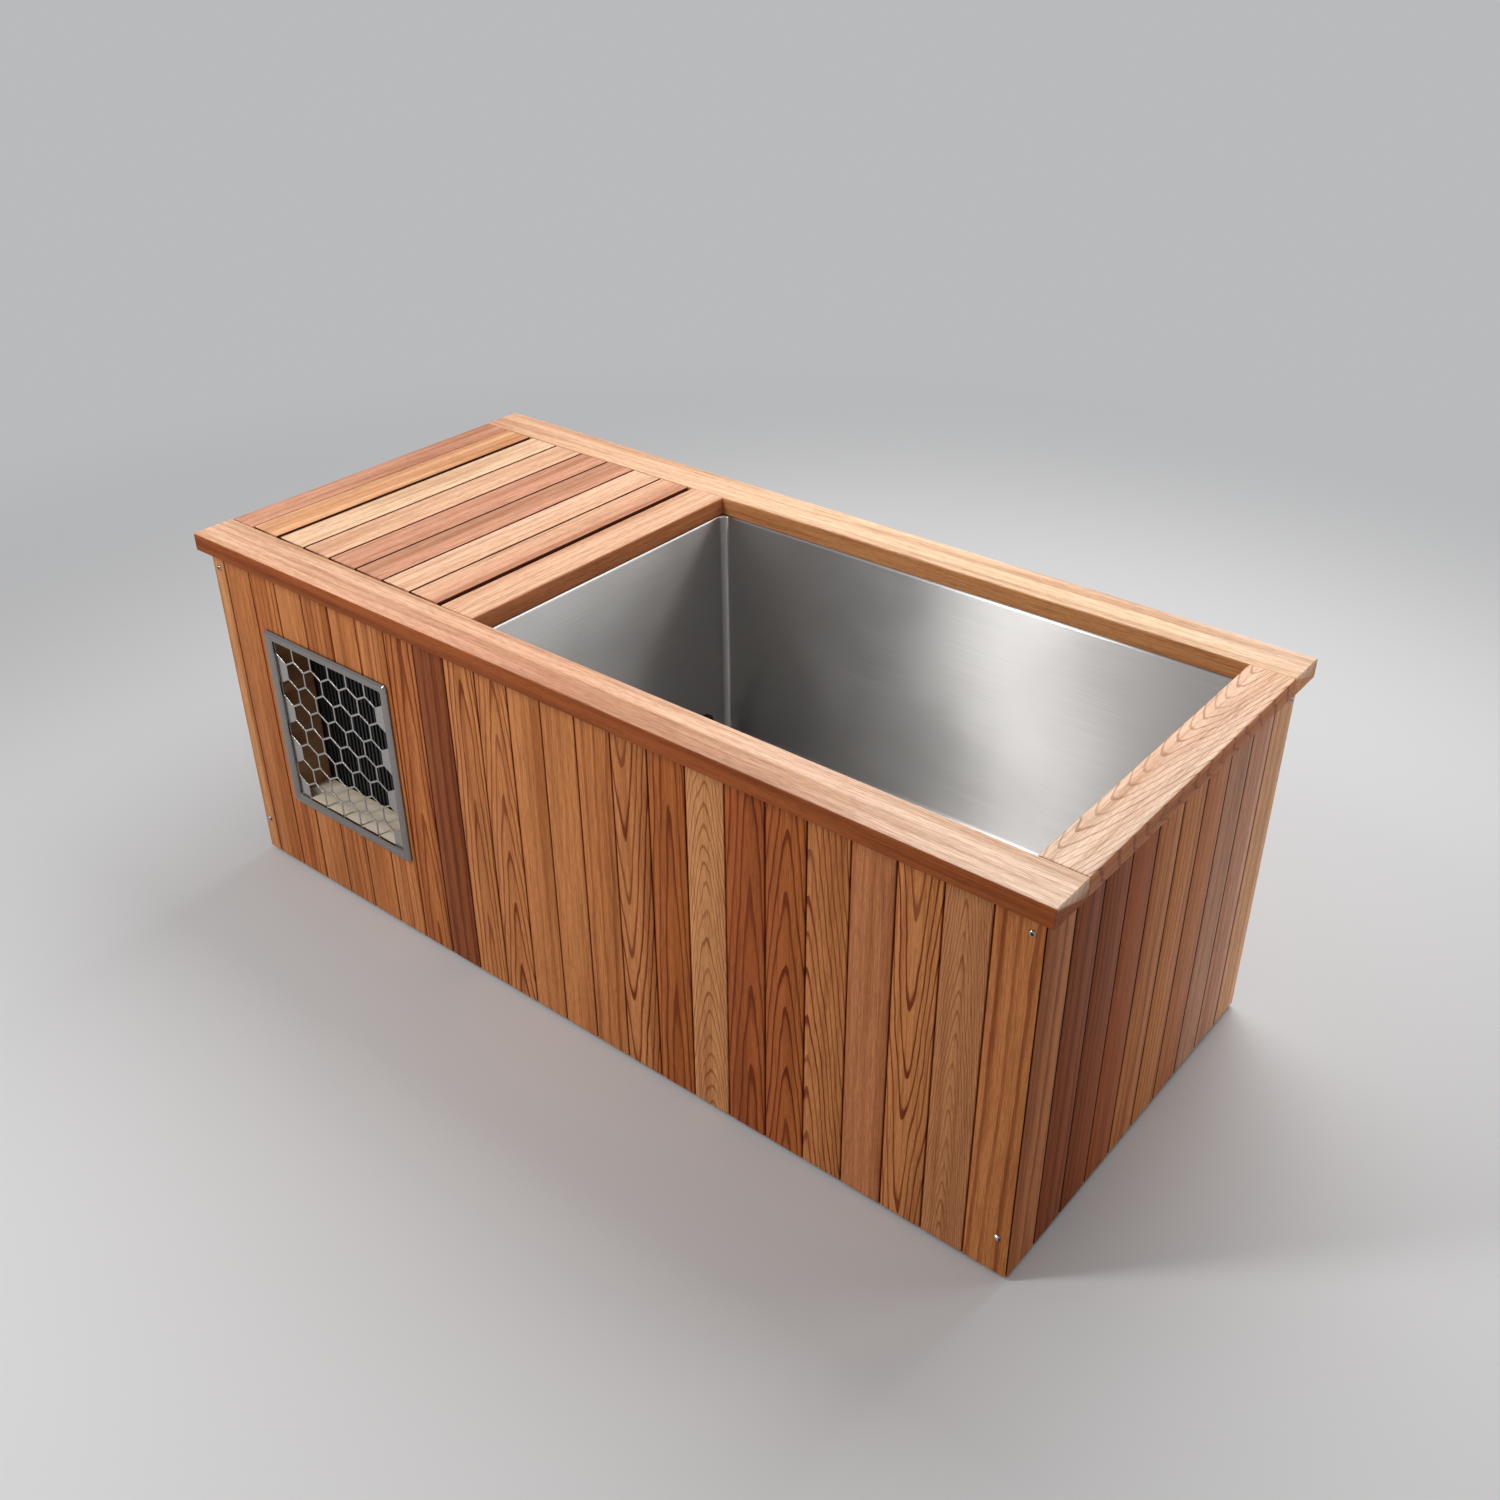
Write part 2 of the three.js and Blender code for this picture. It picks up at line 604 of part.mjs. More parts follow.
// Liner: coved floor, straight walls, rolled lip and flange, one skin from the inner floor to the outer
const linerHalfX = (linerX1 - linerX0) / 2;
const linerMiddle = (linerX0 + linerX1) / 2;
const linerRing = (out, z) => ({
  x: linerHalfX + out, y: linerY + out, radius: LINER_CORNER + out, z });
const quarter = Array.from({ length: CORNER_STEPS + 1 }, (unused, i) => i / CORNER_STEPS * Math.PI / 2);
const downwards = quarter.toReversed();
const outerCove = LINER_COVE + LINER_GAUGE;
const innerLip = LINER_LIP - LINER_GAUGE;
const coveZ = linerFloor + LINER_COVE;
const lipZ = plateTop - LINER_LIP;
const linerRings = [
  ...quarter.map((a) => linerRing(LINER_COVE * (Math.sin(a) - 1), coveZ - LINER_COVE * Math.cos(a))),
  ...quarter.map((a) => linerRing(LINER_LIP * (1 - Math.cos(a)), lipZ + LINER_LIP * Math.sin(a))),
  linerRing(LINER_GAUGE + LINER_FLANGE, plateTop),
  linerRing(LINER_GAUGE + LINER_FLANGE, plateTop - LINER_GAUGE),
  ...downwards.map((a) => linerRing(LINER_LIP - innerLip * Math.cos(a), lipZ + innerLip * Math.sin(a))),
  ...downwards.map((a) => linerRing(outerCove * Math.sin(a) - LINER_COVE, coveZ - outerCove * Math.cos(a))),
];
const linerSkin = loft(linerRings, false).translate(linerMiddle, 0, 0);
add(basin, "liner", cut(linerSkin, ...stemHoles), stainless);

// Suction fitting: a slotted strainer inside the basin, its stem reaching through to the pump
const strainer = turned(
  [[0, 0], [FITTING_RADIUS, 0], [FITTING_RADIUS, FITTING_PROUD - FITTING_EASE],
    [FITTING_RADIUS - FITTING_EASE, FITTING_PROUD], [0, FITTING_PROUD]],
  [linerX0 + FIT, suctionY, suctionZ], AXIS_X);
const suctionStem = bar(
  STEM_RADIUS, [bulkheadX0, suctionY, suctionZ], [linerX0 + FITTING_PROUD / 2, suctionY, suctionZ]);
const slotReach = FITTING_RADIUS * STRAINER_REACH;
const strainerSlots = Array.from({ length: STRAINER_SLOTS }, (unused, i) => {
  const slotZ = suctionZ + (i - (STRAINER_SLOTS - 1) / 2) * STRAINER_PITCH;
  return block(
    [linerX0 + FITTING_PROUD / 2, linerX0 + 2 * FITTING_PROUD], [suctionY - slotReach, suctionY + slotReach],
    [slotZ - STRAINER_SLOT / 2, slotZ + STRAINER_SLOT / 2]);
});
add(water, "suction_fitting", cut(join(strainer, suctionStem), ...strainerSlots), blackPlastic);

// Return fitting: a domed flange with an open nozzle
const nozzle = turned(
  [[0, NOZZLE_SEAT], [NOZZLE_BORE, NOZZLE_SEAT], [NOZZLE_MOUTH, FITTING_PROUD + NOZZLE_RISE],
    [NOZZLE_LIP, FITTING_PROUD + NOZZLE_RISE], [FITTING_RADIUS, FITTING_PROUD - FITTING_EASE],
    [FITTING_RADIUS, 0], [0, 0]],
  [linerX0 + FIT, exchangerY, returnZ], AXIS_X);
const returnStem = bar(
  STEM_RADIUS, [bulkheadX0, exchangerY, returnZ], [linerX0 + NOZZLE_SEAT, exchangerY, returnZ]);
add(water, "return_fitting", join(nozzle, returnStem), blackPlastic);

// Cladding: each side one course of boards in plan, mitred at the corners, a V-groove at every joint
function course(length, boards, firstBoard) {
  const end = length / 2 - FIT;
  const pitch = (length - firstBoard) / (boards - 1);
  const plan = new THREE.Shape();
  plan.moveTo(-end + BOARD_THICK, BOARD_THICK);
  plan.lineTo(-end + CORNER_EASE, CORNER_EASE);
  plan.lineTo(-end + 2 * CORNER_EASE, 0);
  for (let i = 1; i < boards; i += 1) {
    const x = firstBoard + (i - 1) * pitch - length / 2;
    plan.lineTo(x - GROOVE_WIDTH / 2, 0);
    plan.lineTo(x, GROOVE_DEPTH);
    plan.lineTo(x + GROOVE_WIDTH / 2, 0);
  }
  plan.lineTo(end - 2 * CORNER_EASE, 0);
  plan.lineTo(end - CORNER_EASE, CORNER_EASE);
  plan.lineTo(end - BOARD_THICK, BOARD_THICK);
  return extruded(plan, plateTop - FLOOR_GAP);
}
const ventHole = block(
  [ventX - sheetWidth / 2 - FIT, ventX + sheetWidth / 2 + FIT], [-rimY, -frameY],
  [ventZ - sheetHeight / 2 - FIT, ventZ + sheetHeight / 2 + FIT]);
const frontCourse = course(2 * cladX, FRONT_BOARDS, NARROW_BOARD).translate(0, -cladY, FLOOR_GAP);
add(casing, "cladding_front", cut(frontCourse, ventHole), cedar);
const endBoard = 2 * cladY / END_BOARDS;
const otherCourses = [
  ["cladding_right", course(2 * cladY, END_BOARDS, endBoard), [cladX, 0, FLOOR_GAP], Math.PI / 2],
  ["cladding_back", course(2 * cladX, FRONT_BOARDS, NARROW_BOARD), [0, cladY, FLOOR_GAP], Math.PI],
  ["cladding_left", course(2 * cladY, END_BOARDS, endBoard), [-cladX, 0, FLOOR_GAP], -Math.PI / 2],
];
for (const [name, geometry, position, turn] of otherCourses) {
  add(casing, name, geometry, cedar, position).rotation.z = turn;
}

// Rim: the long rails run through, the end and cross rails butt between them
const rimZ = [rimBottom, HEIGHT];
const shortRailY = [-rimInnerY + FIT, rimInnerY - FIT];
const outerLeft = [RIM_ROUND, 0, EDGE_EASE, RIM_ROUND];
const outerRight = [0, RIM_ROUND, RIM_ROUND, EDGE_EASE];
const bothEased = [0, 0, EDGE_EASE, EDGE_EASE];
add(rim, "rim_front", alongX(boardSection([-rimY, -rimInnerY], rimZ, outerLeft), -rimX, rimX), cedar);
add(rim, "rim_back", alongX(boardSection([rimInnerY, rimY], rimZ, outerRight), -rimX, rimX), cedar);
add(rim, "rim_left", alongY(boardSection([-rimX, hatchX0], rimZ, outerLeft), ...shortRailY), cedar);
add(rim, "rim_right", alongY(boardSection([basinX1, rimX], rimZ, outerRight), ...shortRailY), cedar);
add(rim, "rim_cross", alongY(boardSection([hatchX1, basinX0], rimZ, bothEased), ...shortRailY), cedar);

// Hatch: ledgers on the long rails carry the slats, and two battens hold the lift-out ones together
const gaps = SLAT_GAP + 2 * FINGER_GAP + (SLAT_COUNT - 2) * SLAT_GAP;
const slatWidth = (HATCH_LENGTH - gaps) / SLAT_COUNT;
const slatEnd = rimInnerY - SLAT_END_GAP;
const slatX = Array.from({ length: SLAT_COUNT }, (unused, i) =>
  hatchX0 + SLAT_GAP + i * (slatWidth + SLAT_GAP) + (i > 0 ? FINGER_GAP - SLAT_GAP : 0));
for (let i = 0; i < SLAT_COUNT; i += 1) {
  const name = i === 0 ? "slat_fixed" : `hatch_slat_${i}`;
  const section = boardSection([slatX[i], slatX[i] + slatWidth], [slatBottom, HEIGHT], bothEased);
  add(hatch, name, alongY(section, -slatEnd, slatEnd), paleCedar);
}
const battenX = [slatX[1], slatX[SLAT_COUNT - 1] + slatWidth];
const ledgerX = [hatchX0 + FIT, hatchX1 - FIT];
const ledgerZ = [rimBottom - LEDGER_DROP, slatBottom - FIT];
for (const [face, side] of [["front", -1], ["back", 1]]) {
  const middle = side * (slatEnd - BATTEN_INSET);
  const battenY = [middle - BATTEN_WIDTH / 2, middle + BATTEN_WIDTH / 2];
  add(hatch, `hatch_batten_${face}`, block(battenX, battenY, [battenBottom, slatBottom - FIT]), paleCedar);
  const wall = side * (rimInnerY - FIT);
  const ledgerY = [wall, wall - side * LEDGER_WIDTH].sort((a, b) => a - b);
  add(hatch, `ledger_${face}`, block(ledgerX, ledgerY, ledgerZ), framing);
}

// Vent frame: a raised land round the edge, then a step down to the honeycomb
const frameRing = (inset, radius, z) => ({
  x: VENT_WIDTH / 2 - inset, y: VENT_HEIGHT / 2 - inset, radius, z });
const ventFrame = loft([
  frameRing(0, VENT_CORNER, 0),
  frameRing(0, VENT_CORNER, VENT_PROUD - VENT_STEP),
  frameRing(VENT_STEP, VENT_CORNER - VENT_STEP, VENT_PROUD),
  frameRing(VENT_LAND, VENT_STEP, VENT_PROUD),
  frameRing(VENT_LAND + VENT_STEP, VENT_STEP, VENT_PROUD - VENT_STEP),
  frameRing(VENT_BORDER, VENT_STEP, VENT_PROUD - VENT_STEP),
  frameRing(VENT_BORDER, VENT_STEP, 0),
], true);
ventFrame.rotateX(Math.PI / 2);
add(vent, "vent_frame", ventFrame, stainless, [ventX, -cladY - FIT, ventZ]);

// Honeycomb sheet behind the frame: upright hexagons in staggered rows, trimmed to the sheet's own margin
const hexRadius = (HEX_PITCH - HEX_WEB) / Math.sqrt(3);
const rowPitch = HEX_PITCH * Math.sqrt(3) / 2;
const windowWidth = sheetWidth - 2 * HEX_MARGIN;
const windowHeight = sheetHeight - 2 * HEX_MARGIN;
const columns = Math.floor(airWidth / HEX_PITCH);
const rows = Math.ceil(airHeight / rowPitch);
const cells = [];
for (let row = 0; row < rows; row += 1) {
  const count = columns - row % 2;
  for (let column = 0; column < count; column += 1) {
    const cell = new THREE.CylinderGeometry(hexRadius, hexRadius, 4 * SHEET_GAUGE, 6);
    cell.translate((column - (count - 1) / 2) * HEX_PITCH, 0, ((rows - 1) / 2 - row) * rowPitch);
    cells.push(cell);
  }
}
const sheet = block([-sheetWidth / 2, sheetWidth / 2], [0, SHEET_GAUGE], [-sheetHeight / 2, sheetHeight / 2]);
const sheetWindow = block(
  [-windowWidth / 2, windowWidth / 2], [-SHEET_GAUGE, 2 * SHEET_GAUGE],
  [-windowHeight / 2, windowHeight / 2]);
const honeycomb = cut(sheet, common(join(...cells), sheetWindow));
add(vent, "vent_honeycomb", honeycomb, stainless, [ventX, -cladY, ventZ]);

// Air duct from the sheet to the coil
const ductFront = -cladY + SHEET_GAUGE + FIT;
const ductSection = rectangle(sheetWidth, sheetHeight, rectangle(airWidth, airHeight));
add(vent, "vent_duct", alongY(ductSection, ductFront, ductBackY), cedar, [ventX, 0, ventZ]);

// Drip tray under the chiller
const trayOuter = block([trayX0, trayX1], [trayFrontY, trayBackY], [stand, stand + TRAY_LIP]);
const trayInner = block(
  [trayX0 + TRAY_GAUGE, trayX1 - TRAY_GAUGE], [trayFrontY + TRAY_GAUGE, trayBackY - TRAY_GAUGE],
  [trayFloor, stand + 2 * TRAY_LIP]);
add(chiller, "drip_tray", cut(trayOuter, trayInner), galvanised);

// Condenser coil: a finned block between two cheeks, its slots open to the vent and to the fan
const coilBottom = trayFloor + FIT;
const finRun = airWidth - 2 * COIL_CHEEK;
const finCount = Math.floor(finRun / FIN_PITCH);
const slotWidth = FIN_PITCH - FIN_THICK;
const slotX = Array.from({ length: finCount }, (unused, i) => (i - (finCount - 1) / 2) * FIN_PITCH);
const coilPlan = new THREE.Shape();
coilPlan.moveTo(-airWidth / 2, 0);
for (const x of slotX) {
  coilPlan.lineTo(x - slotWidth / 2, 0);
  coilPlan.lineTo(x - slotWidth / 2, FIN_DEPTH);
  coilPlan.lineTo(x + slotWidth / 2, FIN_DEPTH);
  coilPlan.lineTo(x + slotWidth / 2, 0);
}
coilPlan.lineTo(airWidth / 2, 0);
coilPlan.lineTo(airWidth / 2, COIL_DEPTH);
for (const x of slotX.toReversed()) {
  coilPlan.lineTo(x + slotWidth / 2, COIL_DEPTH);
  coilPlan.lineTo(x + slotWidth / 2, COIL_DEPTH - FIN_DEPTH);
  coilPlan.lineTo(x - slotWidth / 2, COIL_DEPTH - FIN_DEPTH);
  coilPlan.lineTo(x - slotWidth / 2, COIL_DEPTH);
}
coilPlan.lineTo(-airWidth / 2, COIL_DEPTH);
const coil = extruded(coilPlan, coilTop - coilBottom);
add(chiller, "condenser_coil", coil, aluminium, [ventX, coilY0, coilBottom]);

// Fan: its axis is the group's own Z, which points back into the bay
const fan = new THREE.Group();
fan.position.set(ventX, fanY, ventZ);
fan.rotation.x = -Math.PI / 2;
chiller.add(fan);
const origin = [0, 0, 0];
const shroudPlate = block(
  [-airWidth / 2, airWidth / 2], [ventZ - coilTop, ventZ - coilBottom], [0, SHROUD_GAUGE]);
const shroudRing = turned(
  [[ringRadius, 0], [ringRadius, SHROUD_DEPTH], [ringRadius + SHROUD_GAUGE, SHROUD_DEPTH],
    [ringRadius + SHROUD_GAUGE, 0], [ringRadius, 0]],
  origin, AXIS_Z, RING_STEPS);
const boreZ = [-SHROUD_GAUGE, 2 * SHROUD_GAUGE];
const shroudBore = bar(ringRadius + SHROUD_GAUGE / 2, [0, 0, boreZ[0]], [0, 0, boreZ[1]], RING_STEPS);
const spiderZ = [SHROUD_DEPTH - SPIDER_THICK, SHROUD_DEPTH];
const armReach = ringRadius + SHROUD_GAUGE / 2;
const arms = [Math.PI / 4, -Math.PI / 4].map((turn) =>
  block([-armReach, armReach], [-SPIDER_ARM / 2, SPIDER_ARM / 2], spiderZ).rotateZ(turn));
const motorSeat = bar(MOTOR_RADIUS, [0, 0, spiderZ[0]], [0, 0, spiderZ[1]]);
const shaftHole = bar(2 * SHAFT_RADIUS, [0, 0, 0], [0, 0, 2 * SHROUD_DEPTH]);
const shroud = cut(join(cut(shroudPlate, shroudBore), shroudRing, ...arms, motorSeat), shaftHole);
add(fan, "fan_shroud", shroud, blackPlastic);

// Rotor: swept blades on a hub with a blind bore for the shaft
const rotorMiddle = (SHROUD_DEPTH - SPIDER_THICK) / 2;
const hubFront = rotorMiddle - HUB_LENGTH / 2;
const hubBack = rotorMiddle + HUB_LENGTH / 2;
const boreEnd = hubFront + 2 * SHAFT_RADIUS;
const hub = turned(
  [[0, hubFront], [HUB_RADIUS - HUB_EASE, hubFront], [HUB_RADIUS, hubFront + HUB_EASE], [HUB_RADIUS, hubBack],
    [SHAFT_RADIUS + FIT, hubBack], [SHAFT_RADIUS + FIT, boreEnd], [0, boreEnd]],
  origin, AXIS_Z);
const tipRadius = ringRadius - TIP_CLEARANCE;
const bladeRoot = HUB_RADIUS - BLADE_SUNK;
const bladePlan = new THREE.Shape();
bladePlan.moveTo(bladeRoot, -BLADE_ROOT / 2);
for (const { bulge, end, sweep, tip } of [BLADE_LEADING, BLADE_TIP]) {
  bladePlan.quadraticCurveTo(tipRadius * bulge, sweep, tipRadius * end, tip);
}
bladePlan.quadraticCurveTo(tipRadius * BLADE_TRAILING.bulge, BLADE_TRAILING.sweep, bladeRoot, BLADE_ROOT / 2);
const blades = Array.from({ length: BLADE_COUNT }, (unused, i) => {
  const blade = extruded(bladePlan, BLADE_THICK, BLADE_STEPS);
  blade.translate(0, 0, -BLADE_THICK / 2).rotateX(THREE.MathUtils.degToRad(BLADE_PITCH));
  return blade.rotateZ(i / BLADE_COUNT * 2 * Math.PI).translate(0, 0, rotorMiddle);
});
add(fan, "fan_rotor", join(hub, ...blades), blackPlastic);

const motorFront = SHROUD_DEPTH + FIT;
const motorBack = motorFront + MOTOR_LENGTH;
const shaftTip = boreEnd + FIT;
const fanMotor = turned(
  [[0, shaftTip], [SHAFT_RADIUS, shaftTip], [SHAFT_RADIUS, motorFront], [MOTOR_RADIUS, motorFront],
    [MOTOR_RADIUS, motorBack - MOTOR_SHOULDER], [MOTOR_RADIUS - MOTOR_EASE, motorBack - MOTOR_EASE],
    [MOTOR_RADIUS - MOTOR_CROWN, motorBack], [0, motorBack]],
  origin, AXIS_Z);
add(fan, "fan_motor", fanMotor, galvanised);

// Compressor: a welded can on a flanged foot, with its terminal cover and two line stubs
const canTop = COMPRESSOR_HEIGHT;
const can = COMPRESSOR_RADIUS - COMPRESSOR_FOOT_LIP;
const [seamFoot, seamLow, seamHigh, seamTop] = SEAM_SHARES.map((share) => canTop * share);
const compressorCan = turned(
  [[0, 0], [COMPRESSOR_RADIUS, 0], [COMPRESSOR_RADIUS, COMPRESSOR_FOOT],
    [can, COMPRESSOR_FOOT + COMPRESSOR_FOOT_FILLET], [can, seamFoot], [can + CAN_SEAM, seamLow],
    [can + CAN_SEAM, seamHigh], [can, seamTop], [can, canTop * SHOULDER_SHARE],
    [can * DOME_SHARE.radius, canTop * DOME_SHARE.height], [can * CROWN_SHARE, canTop - CAN_CROWN],
    [0, canTop]],
  origin, AXIS_Z);
const terminalCover = block(
  [-TERMINAL_WIDTH / 2, TERMINAL_WIDTH / 2], [can - TERMINAL_SUNK, can + TERMINAL_PROUD],
  TERMINAL_SHARES.map((share) => canTop * share));
const lineStubs = [-1, 1].map((side) => {
  const stubX = side * can * STUB_SHARE.spread;
  return bar(STUB_RADIUS, [stubX, 0, canTop * STUB_SHARE.root], [stubX, 0, canTop + STUB_RISE], STUB_SIDES);
});
add(chiller, "compressor", join(compressorCan, terminalCover, ...lineStubs), blackPaint,
  [compressorX, compressorY, trayFloor + FIT]);

// Heat exchanger: a shell with clamped end caps, water in at the back and out towards the basin
const shellTop = EXCHANGER_HEIGHT;
const shell = EXCHANGER_RADIUS - CAP_LIP;
const exchangerShell = turned(
  [[0, 0], [EXCHANGER_RADIUS, 0], [EXCHANGER_RADIUS, CAP_BELOW], [shell, CAP_BELOW + CAP_EASE],
    [shell, shellTop - CAP_ABOVE - CAP_EASE], [EXCHANGER_RADIUS, shellTop - CAP_ABOVE],
    [EXCHANGER_RADIUS, shellTop - CAP_DOME], [shell * CAP_CROWN_SHARE, shellTop], [0, shellTop]],
  origin, AXIS_Z);
const exchangerBase = trayFloor + FIT;
const inletRise = filterOutletZ - exchangerBase;
const outletRise = returnZ - exchangerBase;
const exchangerReach = EXCHANGER_RADIUS + PORT_LENGTH;
const exchangerIn = bar(PIPE_RADIUS, [0, 0, inletRise], [0, exchangerReach, inletRise]);
const exchangerOut = bar(PIPE_RADIUS, [0, 0, outletRise], [exchangerReach, 0, outletRise]);
add(chiller, "heat_exchanger", join(exchangerShell, exchangerIn, exchangerOut), greyPlastic,
  [exchangerX, exchangerY, exchangerBase]);

// Circulation pump, lying along X: union, volute, motor and cowl, on a foot, with outlets up and to the front
const pumpEnd = PUMP_LENGTH;
const volute0 = PORT_LENGTH;
const volute1 = PORT_LENGTH + VOLUTE_RADIUS;
const neck0 = volute1 + NECK_EASE;
const neck1 = neck0 + NECK_LENGTH;
const cowl0 = pumpEnd - COWL_LENGTH;
const pumpBody = turned(
  [[0, 0], [PIPE_RADIUS + UNION_WALL, 0], [PIPE_RADIUS + UNION_WALL, volute0],
    [VOLUTE_RADIUS - VOLUTE_EASE, volute0],
    [VOLUTE_RADIUS, volute0 + VOLUTE_EASE], [VOLUTE_RADIUS, volute1 - VOLUTE_EASE],
    [VOLUTE_RADIUS - VOLUTE_EASE, volute1], [PUMP_MOTOR_RADIUS - NECK_STEP, neck0],
    [PUMP_MOTOR_RADIUS - NECK_STEP, neck1], [PUMP_MOTOR_RADIUS, neck1 + NECK_EASE],
    [PUMP_MOTOR_RADIUS, cowl0 - COWL_EASE], [PUMP_MOTOR_RADIUS + COWL_PROUD, cowl0],
    [PUMP_MOTOR_RADIUS + COWL_PROUD, pumpEnd - COWL_DOME], [PUMP_MOTOR_RADIUS - COWL_CROWN, pumpEnd],
    [0, pumpEnd]],
  [pumpX1, suctionY, suctionZ], AXIS_X.clone().negate());
const footReach = PUMP_MOTOR_RADIUS - FOOT_INSET;
const pumpFoot = block(
  [pumpX1 - pumpEnd + FOOT_FROM_COWL, pumpX1 - volute1 - FOOT_FROM_VOLUTE],
  [suctionY - footReach, suctionY + footReach], [stand, suctionZ - PUMP_MOTOR_RADIUS / 2]);
const dischargeZ = suctionZ + VOLUTE_RADIUS + PORT_LENGTH;
const pumpOut = bar(PIPE_RADIUS, [voluteX, suctionY, suctionZ], [voluteX, suctionY, dischargeZ]);
const pumpDrain = bar(STEM_RADIUS, [voluteX, suctionY, suctionZ], [voluteX, valveY + FIT, suctionZ]);
add(water, "pump", join(pumpBody, pumpFoot, pumpOut, pumpDrain), blackPaint);

// Filter: a cup with a flanged mouth, a pleated cartridge and a lid that turns in its bayonet
const filterPlace = [filterX, suctionY, stand];
const mouthRadius = FILTER_RADIUS + MOUTH_LIP;
const cup = turned(
  [[0, 0], [FILTER_RADIUS, 0], [FILTER_RADIUS, FILTER_HEIGHT - MOUTH_HEIGHT - MOUTH_EASE],
    [mouthRadius, FILTER_HEIGHT - MOUTH_HEIGHT], [mouthRadius, FILTER_HEIGHT],
    [FILTER_RADIUS - FILTER_WALL, FILTER_HEIGHT],
    [FILTER_RADIUS - FILTER_WALL, 2 * FILTER_WALL], [0, 2 * FILTER_WALL]],
  origin, AXIS_Z, RING_STEPS);
const portRoot = FILTER_RADIUS - FILTER_WALL / 2;
const filterReach = FILTER_RADIUS + PORT_LENGTH;
const filterIn = bar(PIPE_RADIUS, [portRoot, 0, FILTER_INLET_HEIGHT], [filterReach, 0, FILTER_INLET_HEIGHT]);
const filterOut = bar(
  PIPE_RADIUS, [0, -portRoot, FILTER_OUTLET_HEIGHT], [0, -filterReach, FILTER_OUTLET_HEIGHT]);
add(water, "filter_housing", join(cup, filterIn, filterOut), blackPlastic, filterPlace);

const spigot = FILTER_RADIUS - FILTER_WALL - 2 * FIT;
const lidFoot = FILTER_HEIGHT + FIT;
const lidTop = lidFoot + LID_THICK;
const lidDisc = turned(
  [[0, lidFoot - LID_THICK], [spigot, lidFoot - LID_THICK], [spigot, lidFoot], [mouthRadius, lidFoot],
    [mouthRadius, lidTop - LID_EASE], [mouthRadius - LID_EASE, lidTop], [0, lidTop]],
  origin, AXIS_Z, RING_STEPS);
const lidGrip = block(
  [-FILTER_RADIUS * GRIP_SHARE, FILTER_RADIUS * GRIP_SHARE], [-GRIP_WIDTH / 2, GRIP_WIDTH / 2],
  [lidTop - GRIP_SUNK, lidTop + LID_THICK]);
const lidLugs = Array.from({ length: LUG_COUNT }, (unused, i) => {
  const lug = block(
    [FILTER_RADIUS, FILTER_RADIUS + LUG_REACH], [-LUG_WIDTH / 2, LUG_WIDTH / 2],
    [lidFoot, lidTop - LUG_STEP]);
  return lug.rotateZ(i / LUG_COUNT * 2 * Math.PI);
});
add(water, "filter_lid", join(lidDisc, lidGrip, ...lidLugs), greyPlastic, filterPlace);

const cartridgeRadius = spigot - CARTRIDGE_GAP;
const cartridgePlan = new THREE.Shape();
for (let i = 0; i < 2 * PLEAT_COUNT; i += 1) {
  const angle = i / PLEAT_COUNT * Math.PI;
  const radius = cartridgeRadius - (i % 2) * PLEAT_DEPTH;
  const point = [radius * Math.cos(angle), radius * Math.sin(angle)];
  if (i === 0) cartridgePlan.moveTo(...point);
  else cartridgePlan.lineTo(...point);
}
cartridgePlan.holes.push(new THREE.Path().absarc(0, 0, PIPE_RADIUS, 0, 2 * Math.PI));
const cartridgeFoot = 2 * FILTER_WALL + FIT;
const cartridgeLength = lidFoot - LID_THICK - FIT - cartridgeFoot;
const cartridge = extruded(cartridgePlan, cartridgeLength).translate(0, 0, cartridgeFoot);
add(water, "filter_cartridge", cartridge, whitePipe, filterPlace);

// Pipes: pump to filter, filter to heat exchanger, heat exchanger to the return fitting
const pumpToFilter = pipe([
  [voluteX, suctionY, dischargeZ + FIT], [voluteX, suctionY, filterInletZ],
  [filterX + filterReach + FIT, suctionY, filterInletZ]]);
add(water, "pipe_pump_to_filter", pumpToFilter, whitePipe);
const filterMouthY = suctionY - filterReach - FIT;
const exchangerMouthY = exchangerY + exchangerReach + FIT;
const crossingY = (filterMouthY + exchangerMouthY) / 2;
const filterToChiller = pipe([
  [filterX, filterMouthY, filterOutletZ], [filterX, crossingY, filterOutletZ],
  [exchangerX, crossingY, filterOutletZ], [exchangerX, exchangerMouthY, filterOutletZ]]);
add(water, "pipe_filter_to_chiller", filterToChiller, whitePipe);
const chillerToBasin = pipe([
  [exchangerX + exchangerReach + FIT, exchangerY, returnZ], [bulkheadX0 - FIT, exchangerY, returnZ]]);
add(water, "pipe_return", chillerToBasin, whitePipe);

// Drain valve on the pump's front outlet, ending in a hose tail, its lever on an upright pin
const valveMiddle = VALVE_LENGTH / 2;
const bonnetTop = VALVE_RADIUS + BONNET_RISE;
const waist = VALVE_RADIUS - VALVE_WAIST;
const tailRadius = STEM_RADIUS - HOSE_TAIL_STEP;
const tailBore = tailRadius - HOSE_TAIL_WALL;
const tailEnd = VALVE_LENGTH + HOSE_TAIL;
const nutEnd = VALVE_NUT + VALVE_EASE;
const valveBody = turned(
  [[0, 0], [VALVE_RADIUS, 0], [VALVE_RADIUS, VALVE_NUT], [waist, nutEnd], [waist, VALVE_LENGTH - nutEnd],
    [VALVE_RADIUS, VALVE_LENGTH - VALVE_NUT], [VALVE_RADIUS, VALVE_LENGTH], [tailRadius, VALVE_LENGTH],
    [tailRadius, tailEnd], [tailBore, tailEnd], [tailBore, VALVE_LENGTH - HOSE_TAIL_BORE],
    [0, VALVE_LENGTH - HOSE_TAIL_BORE]],
  origin, AXIS_Y.clone().negate());
